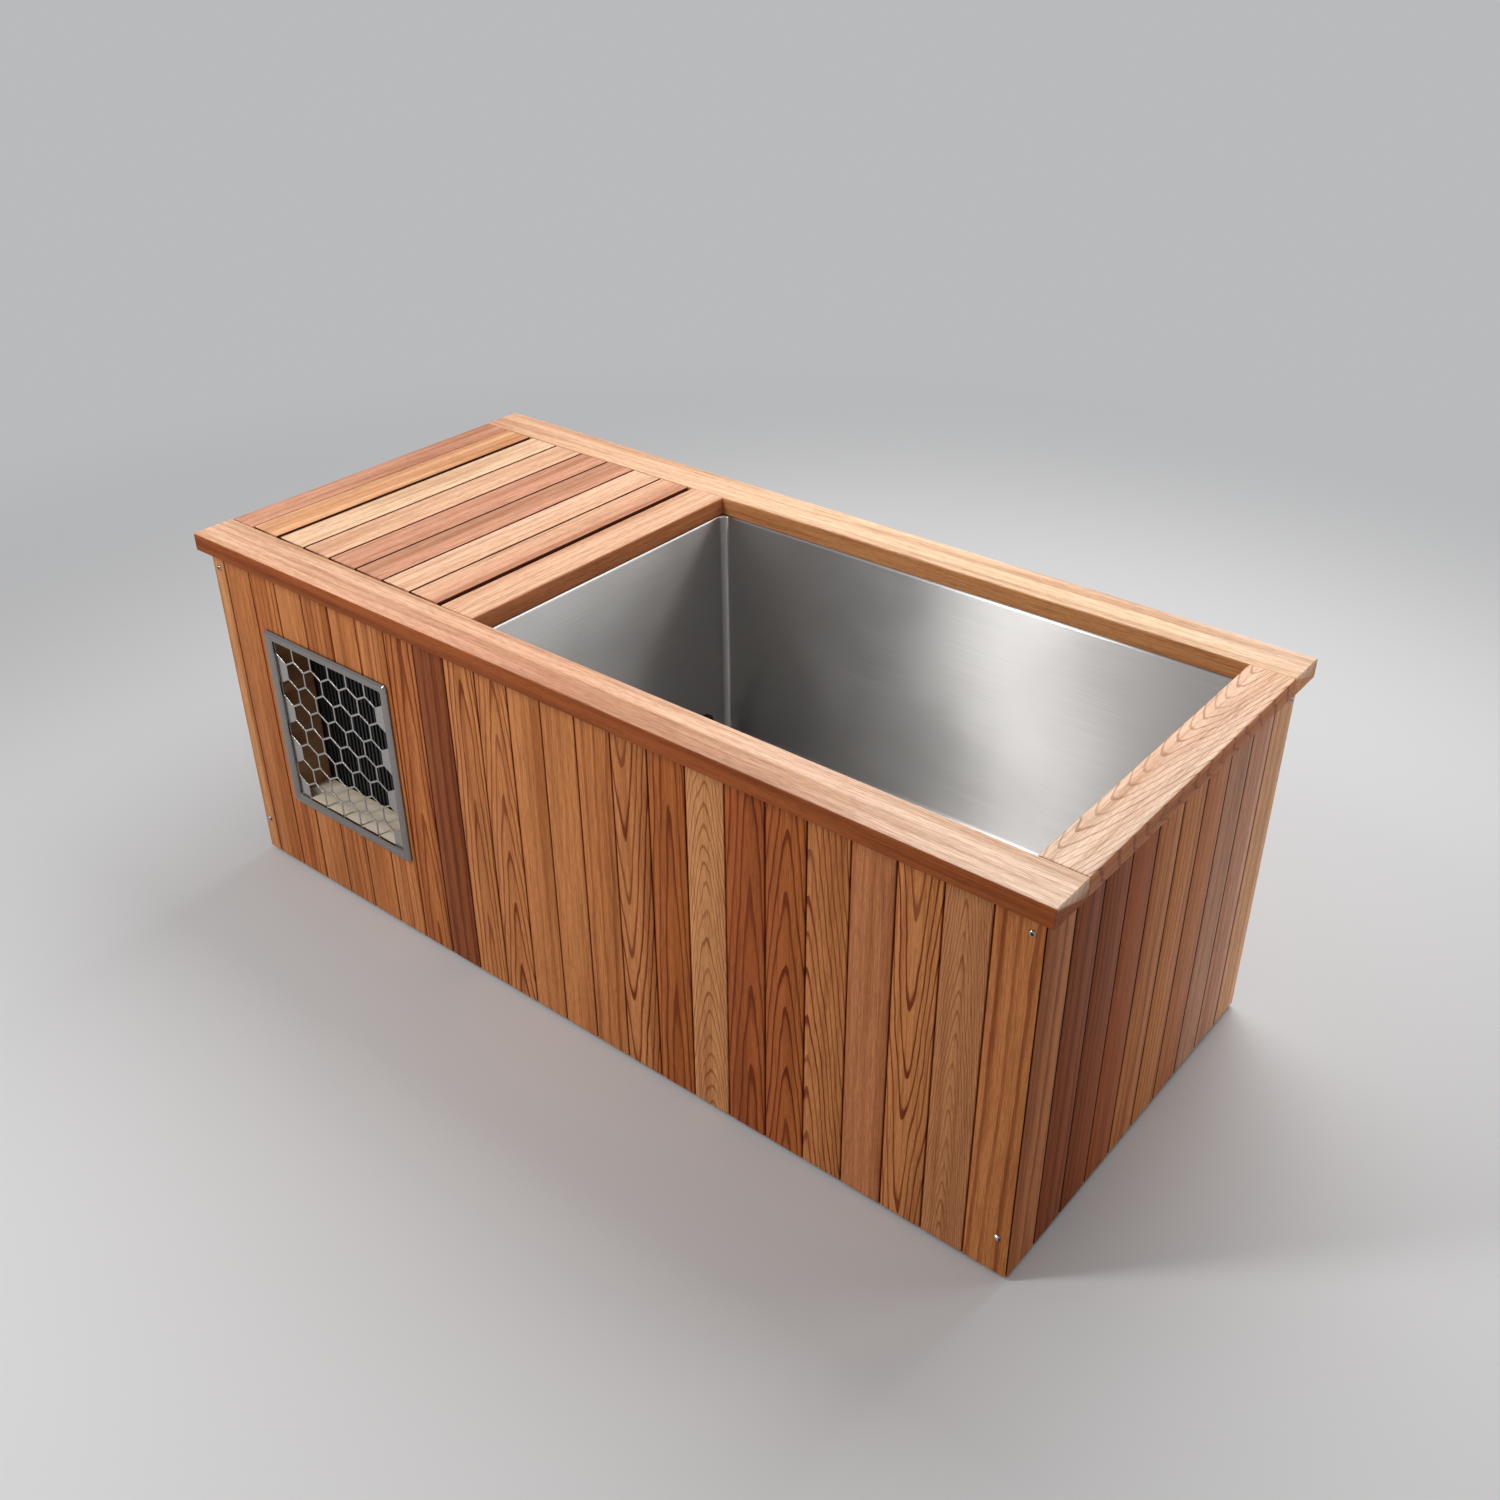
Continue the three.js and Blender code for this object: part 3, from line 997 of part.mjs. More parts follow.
const bonnet = bar(2 * LEVER_PIN, [0, -valveMiddle, 0], [0, -valveMiddle, bonnetTop]);
const pinTop = bonnetTop + LEVER_THICK + LEVER_PIN_PROUD;
const leverPin = bar(LEVER_PIN, [0, -valveMiddle, 0], [0, -valveMiddle, pinTop]);
add(water, "drain_valve", join(valveBody, bonnet, leverPin), brass, [voluteX, valveY, suctionZ]);

const leverShape = new THREE.Shape();
leverShape.moveTo(LEVER_WIDTH, -LEVER_WIDTH / 2);
leverShape.quadraticCurveTo(LEVER_WIDTH * LEVER_NOSE_SHARE, 0, LEVER_WIDTH, LEVER_WIDTH / 2);
leverShape.lineTo(-LEVER_LENGTH, LEVER_WIDTH / 2);
leverShape.quadraticCurveTo(-LEVER_LENGTH - LEVER_WIDTH / 2, 0, -LEVER_LENGTH, -LEVER_WIDTH / 2);
leverShape.holes.push(new THREE.Path().absarc(0, 0, LEVER_PIN + FIT, 0, 2 * Math.PI));
const lever = extruded(leverShape, LEVER_THICK, LEVER_STEPS);
add(water, "valve_lever", lever, redLever, [voluteX, valveY - valveMiddle, suctionZ + bonnetTop + FIT]);

// Control box on the bulkhead, with a pocket for the rocker on top and a gland for the supply lead below
const controlX0 = controlX1 - CONTROL_DEPTH;
const controlY0 = controlY1 - CONTROL_WIDTH;
const controlBottom = controlTop - CONTROL_HEIGHT;
const rockerX = (controlX0 + controlX1) / 2;
const rockerY = (controlY0 + controlY1) / 2;
const rockerDepth = ROCKER_LENGTH / 2;
const boxBody = block(
  [controlX0 + COVER_PROUD, controlX1], [controlY0, controlY1], [controlBottom, controlTop]);
const boxCover = block(
  [controlX0, controlX0 + COVER_THICK], [controlY0 + COVER_INSET, controlY1 - COVER_INSET],
  [controlBottom + COVER_INSET, controlTop - COVER_INSET]);
const glandZ = [controlBottom - GLAND_LENGTH, controlBottom + GLAND_ROOT];
const gland = bar(GLAND_RADIUS, [rockerX, rockerY, glandZ[0]], [rockerX, rockerY, glandZ[1]], GLAND_SIDES);
const rockerPocket = block(
  [rockerX - ROCKER_LENGTH / 2 - ROCKER_ROOM, rockerX + ROCKER_LENGTH / 2 + ROCKER_ROOM],
  [rockerY - ROCKER_WIDTH / 2 - ROCKER_PLAY, rockerY + ROCKER_WIDTH / 2 + ROCKER_PLAY],
  [controlTop - rockerDepth, controlTop + rockerDepth]);
add(control, "control_box", cut(join(boxBody, boxCover, gland), rockerPocket), greyPlastic);

// Rocker, tipped to its off side. It turns about a level line along Y through its own pivot
const rockerSide = new THREE.Shape();
const hornZ = ROCKER_RISE + ROCKER_HORN;
rockerSide.moveTo(-ROCKER_LENGTH / 2, hornZ);
rockerSide.lineTo(-ROCKER_LENGTH / 2, -ROCKER_FOOT);
rockerSide.quadraticCurveTo(0, -rockerDepth, ROCKER_LENGTH / 2, -ROCKER_FOOT);
rockerSide.lineTo(ROCKER_LENGTH / 2, hornZ);
rockerSide.quadraticCurveTo(0, ROCKER_RISE - ROCKER_DISH, -ROCKER_LENGTH / 2, hornZ);
const rocker = alongY(rockerSide, -ROCKER_WIDTH / 2, ROCKER_WIDTH / 2);
const rockerMesh = add(control, "power_rocker", rocker, blackPlastic, [rockerX, rockerY, controlTop]);
rockerMesh.rotation.y = THREE.MathUtils.degToRad(ROCKER_TIP);

export default tub;
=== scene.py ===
"""Cold plunge tub: a brushed steel basin in a cedar case, with a chiller bay under a slatted hatch."""
import json
import math
import random

import bmesh
import bpy
import numpy as np
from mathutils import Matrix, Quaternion, Vector


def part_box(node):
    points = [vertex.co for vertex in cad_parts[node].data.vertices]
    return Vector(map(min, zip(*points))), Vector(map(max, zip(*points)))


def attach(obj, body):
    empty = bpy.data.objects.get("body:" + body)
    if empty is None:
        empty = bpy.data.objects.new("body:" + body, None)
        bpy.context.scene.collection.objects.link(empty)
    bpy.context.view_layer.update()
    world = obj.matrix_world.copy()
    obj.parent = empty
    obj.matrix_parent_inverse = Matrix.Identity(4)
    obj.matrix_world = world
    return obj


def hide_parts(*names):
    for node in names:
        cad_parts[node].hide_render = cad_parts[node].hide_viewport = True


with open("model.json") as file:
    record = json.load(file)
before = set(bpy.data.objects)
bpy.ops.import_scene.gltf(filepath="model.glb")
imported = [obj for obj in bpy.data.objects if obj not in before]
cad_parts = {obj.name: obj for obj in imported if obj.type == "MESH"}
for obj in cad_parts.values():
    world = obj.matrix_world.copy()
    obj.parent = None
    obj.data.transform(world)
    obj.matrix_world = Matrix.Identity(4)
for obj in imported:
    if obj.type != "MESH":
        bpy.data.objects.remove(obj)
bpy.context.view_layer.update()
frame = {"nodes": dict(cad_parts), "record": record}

MM = 0.001
AXES = {"x": Vector((1, 0, 0)), "y": Vector((0, 1, 0)), "z": Vector((0, 0, 1))}
BODY_OF = {n: body for body, nodes in frame["record"]["behaviour"]["bodies"].items() for n in nodes}
SLOT_OF = {row["node"]: row["material_slot"] for row in frame["record"]["subparts"]}

# Camera: where the photographer stood, in metres, and what the lens took in
CAMERA_AT = (1.651, -1.907, 1.987)
CAMERA_TURN = 39.30
CAMERA_DROP = 32.00
CAMERA_ROLL = -0.45
LENS = 37.36

# Studio: a floor that runs into the backdrop between two distances from the object, in metres
FLOOR_TONE = "#D6D6D6"
FLOOR_REACH = 30
FLOOR_NEAR = 1.5
FLOOR_FAR = 3.8
BACKDROP_TONE = "#F2F3F5"
BACKDROP_LEVEL = 0.55
SKY_LEVEL = 0.28

# Lamps: place and size in metres, power in watts. They all point at the middle of the case
LAMP_AIM = Vector((0, 0, 0.4))
LAMPS = {
    "key": ((-0.95, -2.2, 2.4), (0.15, 1.7), 44),
    "overhead": ((0.0, 1.65, 3.0), (2.6, 2.6), 82),
    "side": ((3.0, 2.2, 1.6), (1.4, 1.4), 19),
}

# Boards of the case: their number, the gap in front and behind, and the shade painted into the grooves
# between them
FRONT_BOARDS = 24
END_BOARDS = 10
NARROW_BOARD = 36 * MM
BOARD_GAP = 0.8 * MM
TONGUE_GAP = 0.02 * MM
GROOVE_EASE = 2.8 * MM
GROOVE_FROM = GROOVE_EASE / 5
# Painted shade in the grooves between boards: darker on the ends, which the lamps reach less
GROOVE_PAINTED_SHADE = (0.42, 0.26, 0.22)
GROOVE_PAINTED_DEEP_SHADE = (0.10, 0.07, 0.06)
THICK_END = 20 * MM
HOLE_PAST = 10 * MM
# Height of the duct's floor, whose faces take a paler lining: painted light
DUCT_LIT_FLOOR = 7 * MM

# Edges of boards, rails and slats, and how far below the face their sides begin
CORNER_EASE = 1.2 * MM
END_EASE = 0.7 * MM
RAIL_ROUND = 5 * MM
SLAT_ROUND = 2.5 * MM
SIDE_FROM = 2 * MM
SLAT_SIDE_FROM = 0.8 * MM

# Corners of a board's outline: radius and number of steps
SHARP = (0, 1)
GROOVE = (GROOVE_EASE, 2)
CORNER = (CORNER_EASE, 2)
EASED = (SLAT_ROUND, 3)
ROUNDED = (RAIL_ROUND, 5)

# Angles in degrees up to which two faces run smoothly into each other, or count as one
BOARD_SMOOTH = 32
SCREW_SMOOTH = 35
SOLID_SMOOTH = 38
ONE_FACE = 0.5
MERGE = 0.001 * MM

# Screws that hold the corner boards
SCREW_HEAD = 11 * MM
SCREW_HIGH = 3.2 * MM
SCREW_SUNK = 4 * MM
SCREW_SOCKET = 6 * MM
SCREW_IN = 19 * MM
SCREW_TOP = 33 * MM
SCREW_LOW = 78 * MM
SOCKET_FLOOR = 0.5 * MM
BUTTON = ((0.5, 0.25), (0.46, 0.6), (0.39, 0.88), (0.32, 1))
SCREW_SIDES = 24
SOCKET_SIDES = 6


def colour(code):
    """Linear colour of an sRGB hex value."""
    parts = [int(code[i:i + 2], 16) / 255 for i in (1, 3, 5)]
    return (*[c / 12.92 if c <= 0.04045 else ((c + 0.055) / 1.055) ** 2.4 for c in parts], 1.0)


def node(tree, kind, inputs=None, stops=(), **settings):
    """Adds a node with its settings, ramp stops, constants and links, and returns it."""
    made = tree.nodes.new(kind)
    for name, value in settings.items():
        setattr(made, name, value)
    for place, (position, shade) in enumerate(stops):
        if place >= len(made.color_ramp.elements):
            made.color_ramp.elements.new(position)
        made.color_ramp.elements[place].position = position
        made.color_ramp.elements[place].color = shade
    for socket, value in (inputs or {}).items():
        if isinstance(value, bpy.types.NodeSocket):
            tree.links.new(value, made.inputs[socket])
        else:
            made.inputs[socket].default_value = value
    return made


def finish_of(name, **constants):
    """A new material with its node tree and its shader, the shader's constants set on its own sockets."""
    material = bpy.data.materials.new(name)
    material.use_nodes = True
    shader = material.node_tree.nodes["Principled BSDF"]
    for socket, value in constants.items():
        shader.inputs[socket.replace("_", " ")].default_value = value
    return material, material.node_tree, shader


# Cedar: tones and figures

TONES = {
    "ivory": "#F3D3BA",
    "cream": "#EEC4A5",
    "pale straw": "#EDC7A4",
    "pale honey": "#E6AF83",
    "pale salmon": "#E7B897",
    "pale rose": "#D2997D",
    "dusky rose": "#C38F72",
    "straw": "#D3935F",
    "honey": "#CB844E",
    "tan": "#C57D48",
    "amber": "#BA6C36",
    "russet": "#AA5C2F",
    "salmon": "#C47E52",
    "grey tan": "#C38456",
    "umber": "#AA663C",
    "brown": "#9D542B",
    "chestnut": "#954D23",
    "chocolate": "#93512C",
    # Painted shade for the sides of the slats, which darkens the gaps between them
    "bark": "#562C18",
}

# Where the heart of the log lay, as a share of the board's width across it and in millimetres behind it,
# how fast the rings climb along the board, the rings' spacing in millimetres, how dark they are and how thin
FIGURES = {
    "plain": (1.7, 70, 0.004, 16.0, 0.22, 1.2),
    "lines": (0.9, 30, 0.010, 14.0, 0.60, 1.4),
    "streaks": (1.2, 40, 0.012, 24.0, 0.60, 1.0),
    "peaks up": (0.05, 9, 0.100, 12.0, 1.0, 1.2),
    "peaks down": (-0.05, 9, -0.070, 10.0, 1.0, 2.0),
    "dark vees": (-0.20, 8, -0.100, 13.0, 1.0, 1.2),
    "arches": (0.0, 16, 0.130, 6.0, 0.65, 2.4),
    "loops": (0.03, 9, 0.035, 11.0, 1.0, 1.4),
    "feathers": (-0.05, 6, 0.085, 4.4, 0.60, 1.5),
    "hooks": (-0.42, 8, 0.120, 10.0, 1.0, 1.6),
    "tall arch": (0.05, 10, 0.035, 13.0, 1.0, 1.0),
    "bold strokes": (0.12, 10, 0.065, 13.0, 1.0, 0.9),
    "cathedral": (-0.28, 12, -0.190, 9.0, 0.55, 4.5),
}

# Noise in the wood: the size of its cells across and along the grain in millimetres, and its detail
SWAY = (48, 260, 2.0)
WAVER = (14, 90, 2.0)
STREAKS = (22, 900, 2.0)
FIBRES = (2.0, 110, 3.0)
PORES = (1.5, 18, 2.0)
SWAY_BY = 9 * MM
WAVER_BY = 1.8 * MM

# Shares of the board's tone: in the late wood of a ring, and from the hollows to the crests of each noise
RING_SHADE = (0.32, 0.12, 0.07, 1)
STREAK_SHADES = ((0.32, (0.76, 0.66, 0.58, 1)), (0.50, (1, 1, 1, 1)), (0.68, (1.12, 1.12, 1.12, 1)))
FIBRE_SHADES = ((0.32, (0.74, 0.66, 0.60, 1)), (0.50, (1, 1, 1, 1)), (0.68, (1.10, 1.10, 1.10, 1)))
PORE_SHADES = ((0.34, (0.84, 0.80, 0.77, 1)), (0.50, (1, 1, 1, 1)), (0.66, (1.09, 1.09, 1.09, 1)))

# One year's ring: pale early wood, then late wood that darkens slowly and ends sharply
LATE_WOOD = ((0.0, 0.30), (0.03, 0.02), (0.50, 0.0), (0.70, 0.22), (0.84, 1.0), (0.97, 1.0))


def planed_cedar():
    """Western red cedar, planed and oiled: rings cut at a slant, fine fibres and pores, a low satin sheen."""
    material, tree, shader = finish_of("western_red_cedar_planed_and_oiled", IOR=1.5, Specular_IOR_Level=0.10)
    log = node(tree, "ShaderNodeAttribute", attribute_name="log").outputs["Vector"]
    tone_seen = node(tree, "ShaderNodeAttribute", attribute_name="tone").outputs
    tone, thinness = tone_seen["Color"], tone_seen["Alpha"]
    figure = node(tree, "ShaderNodeAttribute", attribute_name="figure").outputs["Vector"]
    spacing, climb, depth = node(tree, "ShaderNodeSeparateXYZ", {0: figure}).outputs
    along = node(tree, "ShaderNodeSeparateXYZ", {0: log}).outputs["Z"]

    def noise(across, length, detail):
        """Noise in the log's own directions, its cells sized in millimetres across and along the grain."""
        size = (1 / (across * MM), 1 / (across * MM), 1 / (length * MM))
        place = node(tree, "ShaderNodeVectorMath", {0: log, 1: size}, operation="MULTIPLY").outputs[0]
        return node(tree, "ShaderNodeTexNoise", {"Vector": place, "Scale": 1.0, "Detail": detail}).outputs[0]

    sway = node(tree, "ShaderNodeMapRange", {0: noise(*SWAY), 3: -SWAY_BY, 4: SWAY_BY}).outputs[0]
    waver = node(tree, "ShaderNodeMapRange", {0: noise(*WAVER), 3: -WAVER_BY, 4: WAVER_BY}).outputs[0]
    flat = node(tree, "ShaderNodeVectorMath", {0: log, 1: (1, 1, 0)}, operation="MULTIPLY").outputs[0]
    radius = node(tree, "ShaderNodeVectorMath", {0: flat}, operation="LENGTH").outputs["Value"]
    climbed = node(tree, "ShaderNodeMath", {0: along, 1: climb, 2: radius},
                   operation="MULTIPLY_ADD").outputs[0]
    swayed = node(tree, "ShaderNodeMath", {0: climbed, 1: sway}, operation="ADD").outputs[0]
    wavered = node(tree, "ShaderNodeMath", {0: swayed, 1: waver}, operation="ADD").outputs[0]
    phase = node(tree, "ShaderNodeMath", {0: wavered, 1: spacing}, operation="DIVIDE").outputs[0]
    ring = node(tree, "ShaderNodeMath", {0: phase}, operation="FRACT").outputs[0]
    count = node(tree, "ShaderNodeMath", {0: phase}, operation="FLOOR").outputs[0]
    year = node(tree, "ShaderNodeTexWhiteNoise", {"W": count}, noise_dimensions="1D").outputs["Value"]
    strength = node(tree, "ShaderNodeMapRange", {0: year, 3: 0.6, 4: 1.0}).outputs[0]
    late = node(tree, "ShaderNodeValToRGB", {0: ring},
                stops=[(place, (dark, dark, dark, 1)) for place, dark in LATE_WOOD]).outputs[0]
    thin = node(tree, "ShaderNodeMath", {0: late, 1: thinness}, operation="POWER").outputs[0]
    dark = node(tree, "ShaderNodeMath", {0: thin, 1: strength}, operation="MULTIPLY").outputs[0]
    cut = node(tree, "ShaderNodeMath", {0: dark, 1: depth}, operation="MULTIPLY").outputs[0]
    fibre = noise(*FIBRES)
    streak_shade = node(tree, "ShaderNodeValToRGB", {0: noise(*STREAKS)}, stops=STREAK_SHADES).outputs[0]
    ring_shade = node(tree, "ShaderNodeMix", {"Factor": cut, 6: (1, 1, 1, 1), 7: RING_SHADE},
                      data_type="RGBA").outputs[2]
    fibre_shade = node(tree, "ShaderNodeValToRGB", {0: fibre}, stops=FIBRE_SHADES).outputs[0]
    pore_shade = node(tree, "ShaderNodeValToRGB", {0: noise(*PORES)}, stops=PORE_SHADES).outputs[0]
    shade = tone
    for layer in (streak_shade, ring_shade, fibre_shade, pore_shade):
        shade = node(tree, "ShaderNodeMix", {"Factor": 1.0, 6: shade, 7: layer}, data_type="RGBA",
                     blend_type="MULTIPLY").outputs[2]
    tree.links.new(shade, shader.inputs["Base Color"])
    rough = node(tree, "ShaderNodeMapRange", {0: fibre, 1: 0.3, 2: 0.7, 3: 0.44, 4: 0.60}).outputs[0]
    tree.links.new(rough, shader.inputs["Roughness"])
    height = node(tree, "ShaderNodeMath", {0: cut, 1: 0.6, 2: fibre}, operation="MULTIPLY_ADD").outputs[0]
    bump = node(tree, "ShaderNodeBump", {"Height": height, "Strength": 0.25, "Distance": 0.25 * MM})
    tree.links.new(bump.outputs[0], shader.inputs["Normal"])
    return material


def sawn_wood(name, along, pale, deep, across_mm=9, length_mm=260):
    """Sawn softwood: pale streaks along one direction of the piece and a dry, dull face."""
    material, tree, shader = finish_of(name, IOR=1.5, Roughness=0.72)
    place = node(tree, "ShaderNodeTexCoord").outputs["Object"]
    size = [1 / (across_mm * MM)] * 3
    size["xyz".index(along)] = 1 / (length_mm * MM)
    turned = node(tree, "ShaderNodeMapping", {"Vector": place, "Scale": size}).outputs[0]
    grain = node(tree, "ShaderNodeTexNoise",
                 {"Vector": turned, "Scale": 1.0, "Detail": 4.0, "Distortion": 0.4}).outputs[0]
    shade = node(tree, "ShaderNodeValToRGB", {0: grain}, stops=(
        (0.34, colour(deep)), (0.62, colour(pale)))).outputs[0]
    tree.links.new(shade, shader.inputs["Base Color"])
    bump = node(tree, "ShaderNodeBump", {"Height": grain, "Strength": 0.3, "Distance": 0.4 * MM})
    tree.links.new(bump.outputs[0], shader.inputs["Normal"])
    return material


def speckled(name, pale, deep, grit_mm, rough, metallic=0.0, bump_mm=0.1, coat=0.0):
    """A moulded, sprayed or coated face: a fine grit that breaks up its colour and its gloss."""
    material, tree, shader = finish_of(name, Metallic=metallic, Coat_Weight=coat, Coat_Roughness=0.25)
    place = node(tree, "ShaderNodeTexCoord").outputs["Object"]
    grit = node(tree, "ShaderNodeTexNoise",
                {"Vector": place, "Scale": 1 / (grit_mm * MM), "Detail": 3.0}).outputs[0]
    shade = node(tree, "ShaderNodeValToRGB", {0: grit}, stops=(
        (0.35, colour(deep)), (0.65, colour(pale)))).outputs[0]
    tree.links.new(shade, shader.inputs["Base Color"])
    gloss = node(tree, "ShaderNodeMapRange",
                 {0: grit, 1: 0.3, 2: 0.7, 3: rough - 0.06, 4: rough + 0.06}).outputs[0]
    tree.links.new(gloss, shader.inputs["Roughness"])
    bump = node(tree, "ShaderNodeBump", {"Height": grit, "Strength": 0.2, "Distance": bump_mm * MM})
    tree.links.new(bump.outputs[0], shader.inputs["Normal"])
    return material


# Brushed steel: hair lines in millimetres, the clouds of gloss between them, and how deep they are cut
HAIR_LINE = 0.9
CLOUD = 260
HAIR_DEPTH = 0.02


def brushed_steel(name, pale, deep, rough, grain, length_mm):
    """Stainless steel, belt-brushed: hair lines along the sheet that draw highlights out across them.

    A real sheet's hair lines are a tenth of a millimetre apart. They are drawn coarser, so that they show.
    """
    material, tree, shader = finish_of(name, Metallic=1.0, Anisotropic=grain, Anisotropic_Rotation=0.25)
    place = node(tree, "ShaderNodeUVMap", uv_map="brush").outputs[0]
    size = (1 / (length_mm * MM), 1 / (HAIR_LINE * MM), 1)
    turned = node(tree, "ShaderNodeMapping", {"Vector": place, "Scale": size}).outputs[0]
    lines = node(tree, "ShaderNodeTexNoise", {"Vector": turned, "Scale": 1.0, "Detail": 4.0}).outputs[0]
    cloud = node(tree, "ShaderNodeTexNoise",
                 {"Vector": place, "Scale": 1 / (CLOUD * MM), "Detail": 2.0}).outputs[0]
    shade = node(tree, "ShaderNodeValToRGB", {0: lines}, stops=(
        (0.30, colour(deep)), (0.70, colour(pale)))).outputs[0]
    tree.links.new(shade, shader.inputs["Base Color"])
    mixed = node(tree, "ShaderNodeMath", {0: lines, 1: 0.5, 2: cloud}, operation="MULTIPLY_ADD").outputs[0]
    gloss = node(tree, "ShaderNodeMapRange",
                 {0: mixed, 1: 0.5, 2: 1.0, 3: rough - 0.05, 4: rough + 0.05}).outputs[0]
    tree.links.new(gloss, shader.inputs["Roughness"])
    tangent = node(tree, "ShaderNodeTangent", direction_type="UV_MAP", uv_map="brush").outputs[0]
    tree.links.new(tangent, shader.inputs["Tangent"])
    bump = node(tree, "ShaderNodeBump", {"Height": lines, "Strength": HAIR_DEPTH, "Distance": 0.1 * MM})
    tree.links.new(bump.outputs[0], shader.inputs["Normal"])
    return material


cedar = planed_cedar()
lining = sawn_wood("cedar_lining_sawn", "y", "#A5784F", "#875C3C", 26, 600)
painted_lit_floor = sawn_wood("duct_floor_lining_painted_light", "x", "#F0E2CC", "#DDC9AC", 18, 400)
liner_steel = brushed_steel("stainless_steel_sheet_belt_brushed", "#CAC8C6", "#BCBAB8", 0.38, 1.0, 240)
trim_steel = brushed_steel("stainless_steel_trim_satin", "#9E9A97", "#918D8A", 0.24, 0.3, 120)
sheet_steel = brushed_steel("stainless_steel_sheet_punched", "#BCB8B4", "#AEAAA6", 0.28, 0.3, 120)
screw_steel = speckled("stainless_steel_screw_turned", "#C9C9C6", "#9C9C9A", 0.8, 0.24, metallic=1.0)

FINISHES = {
    "framing": {axis: sawn_wood(f"spruce_framing_sawn_{axis}", axis, "#D9BC8C", "#B38F60") for axis in "xyz"},
    "plywood": {axis: sawn_wood(f"birch_plywood_sanded_{axis}", axis, "#DDBD8E", "#C39C68", 14, 420)
                for axis in "xy"},
    "foam": speckled("polyisocyanurate_foam_board_pressed", "#DCD3B4", "#C9BD9A", 5, 0.85, bump_mm=0.5),
    "galvanised": speckled("galvanised_steel_sheet_dipped", "#A9ADB0", "#83888C", 11, 0.38, metallic=1.0),
    "aluminium": speckled("aluminium_fins_black_epoxy_coated", "#26282A", "#121314", 2, 0.5),
    "black_paint": speckled("steel_shell_black_stove_enamel", "#1D1F21", "#111213", 1.6, 0.34, coat=0.3),
    "black_plastic": speckled("polypropylene_black_moulded", "#1E1F20", "#131314", 0.9, 0.48),
    "grey_plastic": speckled("abs_grey_moulded", "#8E9296", "#7C8084", 0.9, 0.46),
    "white_pipe": speckled("pvc_pipe_white_extruded", "#E6E5DE", "#D8D6CC", 6, 0.30),
    "filter_paper": speckled("polyester_fleece_pleated", "#E8E7E0", "#D4D3CB", 1.2, 0.9),
    "brass": speckled("brass_body_forged_and_turned", "#C9A250", "#A17C34", 1.4, 0.30, metallic=1.0),
    "red_plastic": speckled("lever_grip_red_vinyl_dipped", "#B3241C", "#93180F", 1.0, 0.38, coat=0.2),
}


# Boards

def section_of(width, thick, corners):
    """Outline of a board across its grain, its outer face at the far side, with its four corners eased."""
    middles = ((0, 0, 180), (width, 0, 270), (width, thick, 0), (0, thick, 90))
    outline = []
    for (a, b, start), (radius, steps) in zip(middles, corners):
        centre_a = radius if a == 0 else width - radius
        centre_b = radius if b == 0 else thick - radius
        for step in range(steps + 1 if radius else 1):
            turn = math.radians(start + (90 * step / steps if radius else 0))
            outline.append((centre_a + radius * math.cos(turn), centre_b + radius * math.sin(turn)))
    return outline


def board(low, high, axes, corners, ease=END_EASE):
    """Points and faces of one board with eased ends. Its axes are across the grain, outwards and along it."""
    across, out, along = axes
    facing = AXES[out[-1]] * (-1 if out[0] == "-" else 1)
    size = {axis: high["xyz".index(axis)] - low["xyz".index(axis)] for axis in "xyz"}
    width, thick, length = size[across], size[out[-1]], size[along]
    origin = Vector(low)
    if out[0] == "-":
        origin += AXES[out[-1]] * thick
    outline = section_of(width, thick, corners)
    points, faces = [], []
    stations = ((0, ease), (ease, 0), (length / 2, 0), (length - ease, 0), (length, ease))
    for place, inset in stations:
        for a, b in outline:
            shrunk_a = width / 2 + (a - width / 2) * (1 - 2 * inset / width)
            shrunk_b = thick / 2 + (b - thick / 2) * (1 - 2 * inset / thick)
            points.append(origin + AXES[across] * shrunk_a + facing * shrunk_b + AXES[along] * place)
    count = len(outline)
    last = len(stations) - 1
    for ring in range(last):
        for i in range(count):
            j = (i + 1) % count
            faces.append((ring * count + i, ring * count + j, (ring + 1) * count + j, (ring + 1) * count + i))
    faces.append(tuple(range(count)))
    faces.append(tuple(range(last * count, (last + 1) * count)))
    return points, faces


def mesh_object(name, points, faces, material):
    """A closed mesh as a new object at the origin, with its faces turned outwards."""
    mesh = bpy.data.meshes.new(name)
    mesh.from_pydata([tuple(p) for p in points], [], faces)
    form = bmesh.new()
    form.from_mesh(mesh)
    bmesh.ops.recalc_face_normals(form, faces=form.faces)
    form.to_mesh(mesh)
    form.free()
    return shown(name, mesh, material, BOARD_SMOOTH)


def shown(name, mesh, material, smooth_angle):
    """Puts a mesh in the scene with one material, smooth up to an angle."""
    mesh.materials.clear()
    mesh.materials.append(material)
    mesh.polygons.foreach_set("use_smooth", [True] * len(mesh.polygons))
    mesh.set_sharp_from_angle(angle=math.radians(smooth_angle))
    made = bpy.data.objects.new(name, mesh)
    bpy.context.scene.collection.objects.link(made)
    return made


def plain_mesh(made):
    """The object's mesh with its modifiers worked in, the modifiers removed."""
    graph = bpy.context.evaluated_depsgraph_get()
    mesh = bpy.data.meshes.new_from_object(made.evaluated_get(graph))
    made.modifiers.clear()
    made.data = mesh
    return made


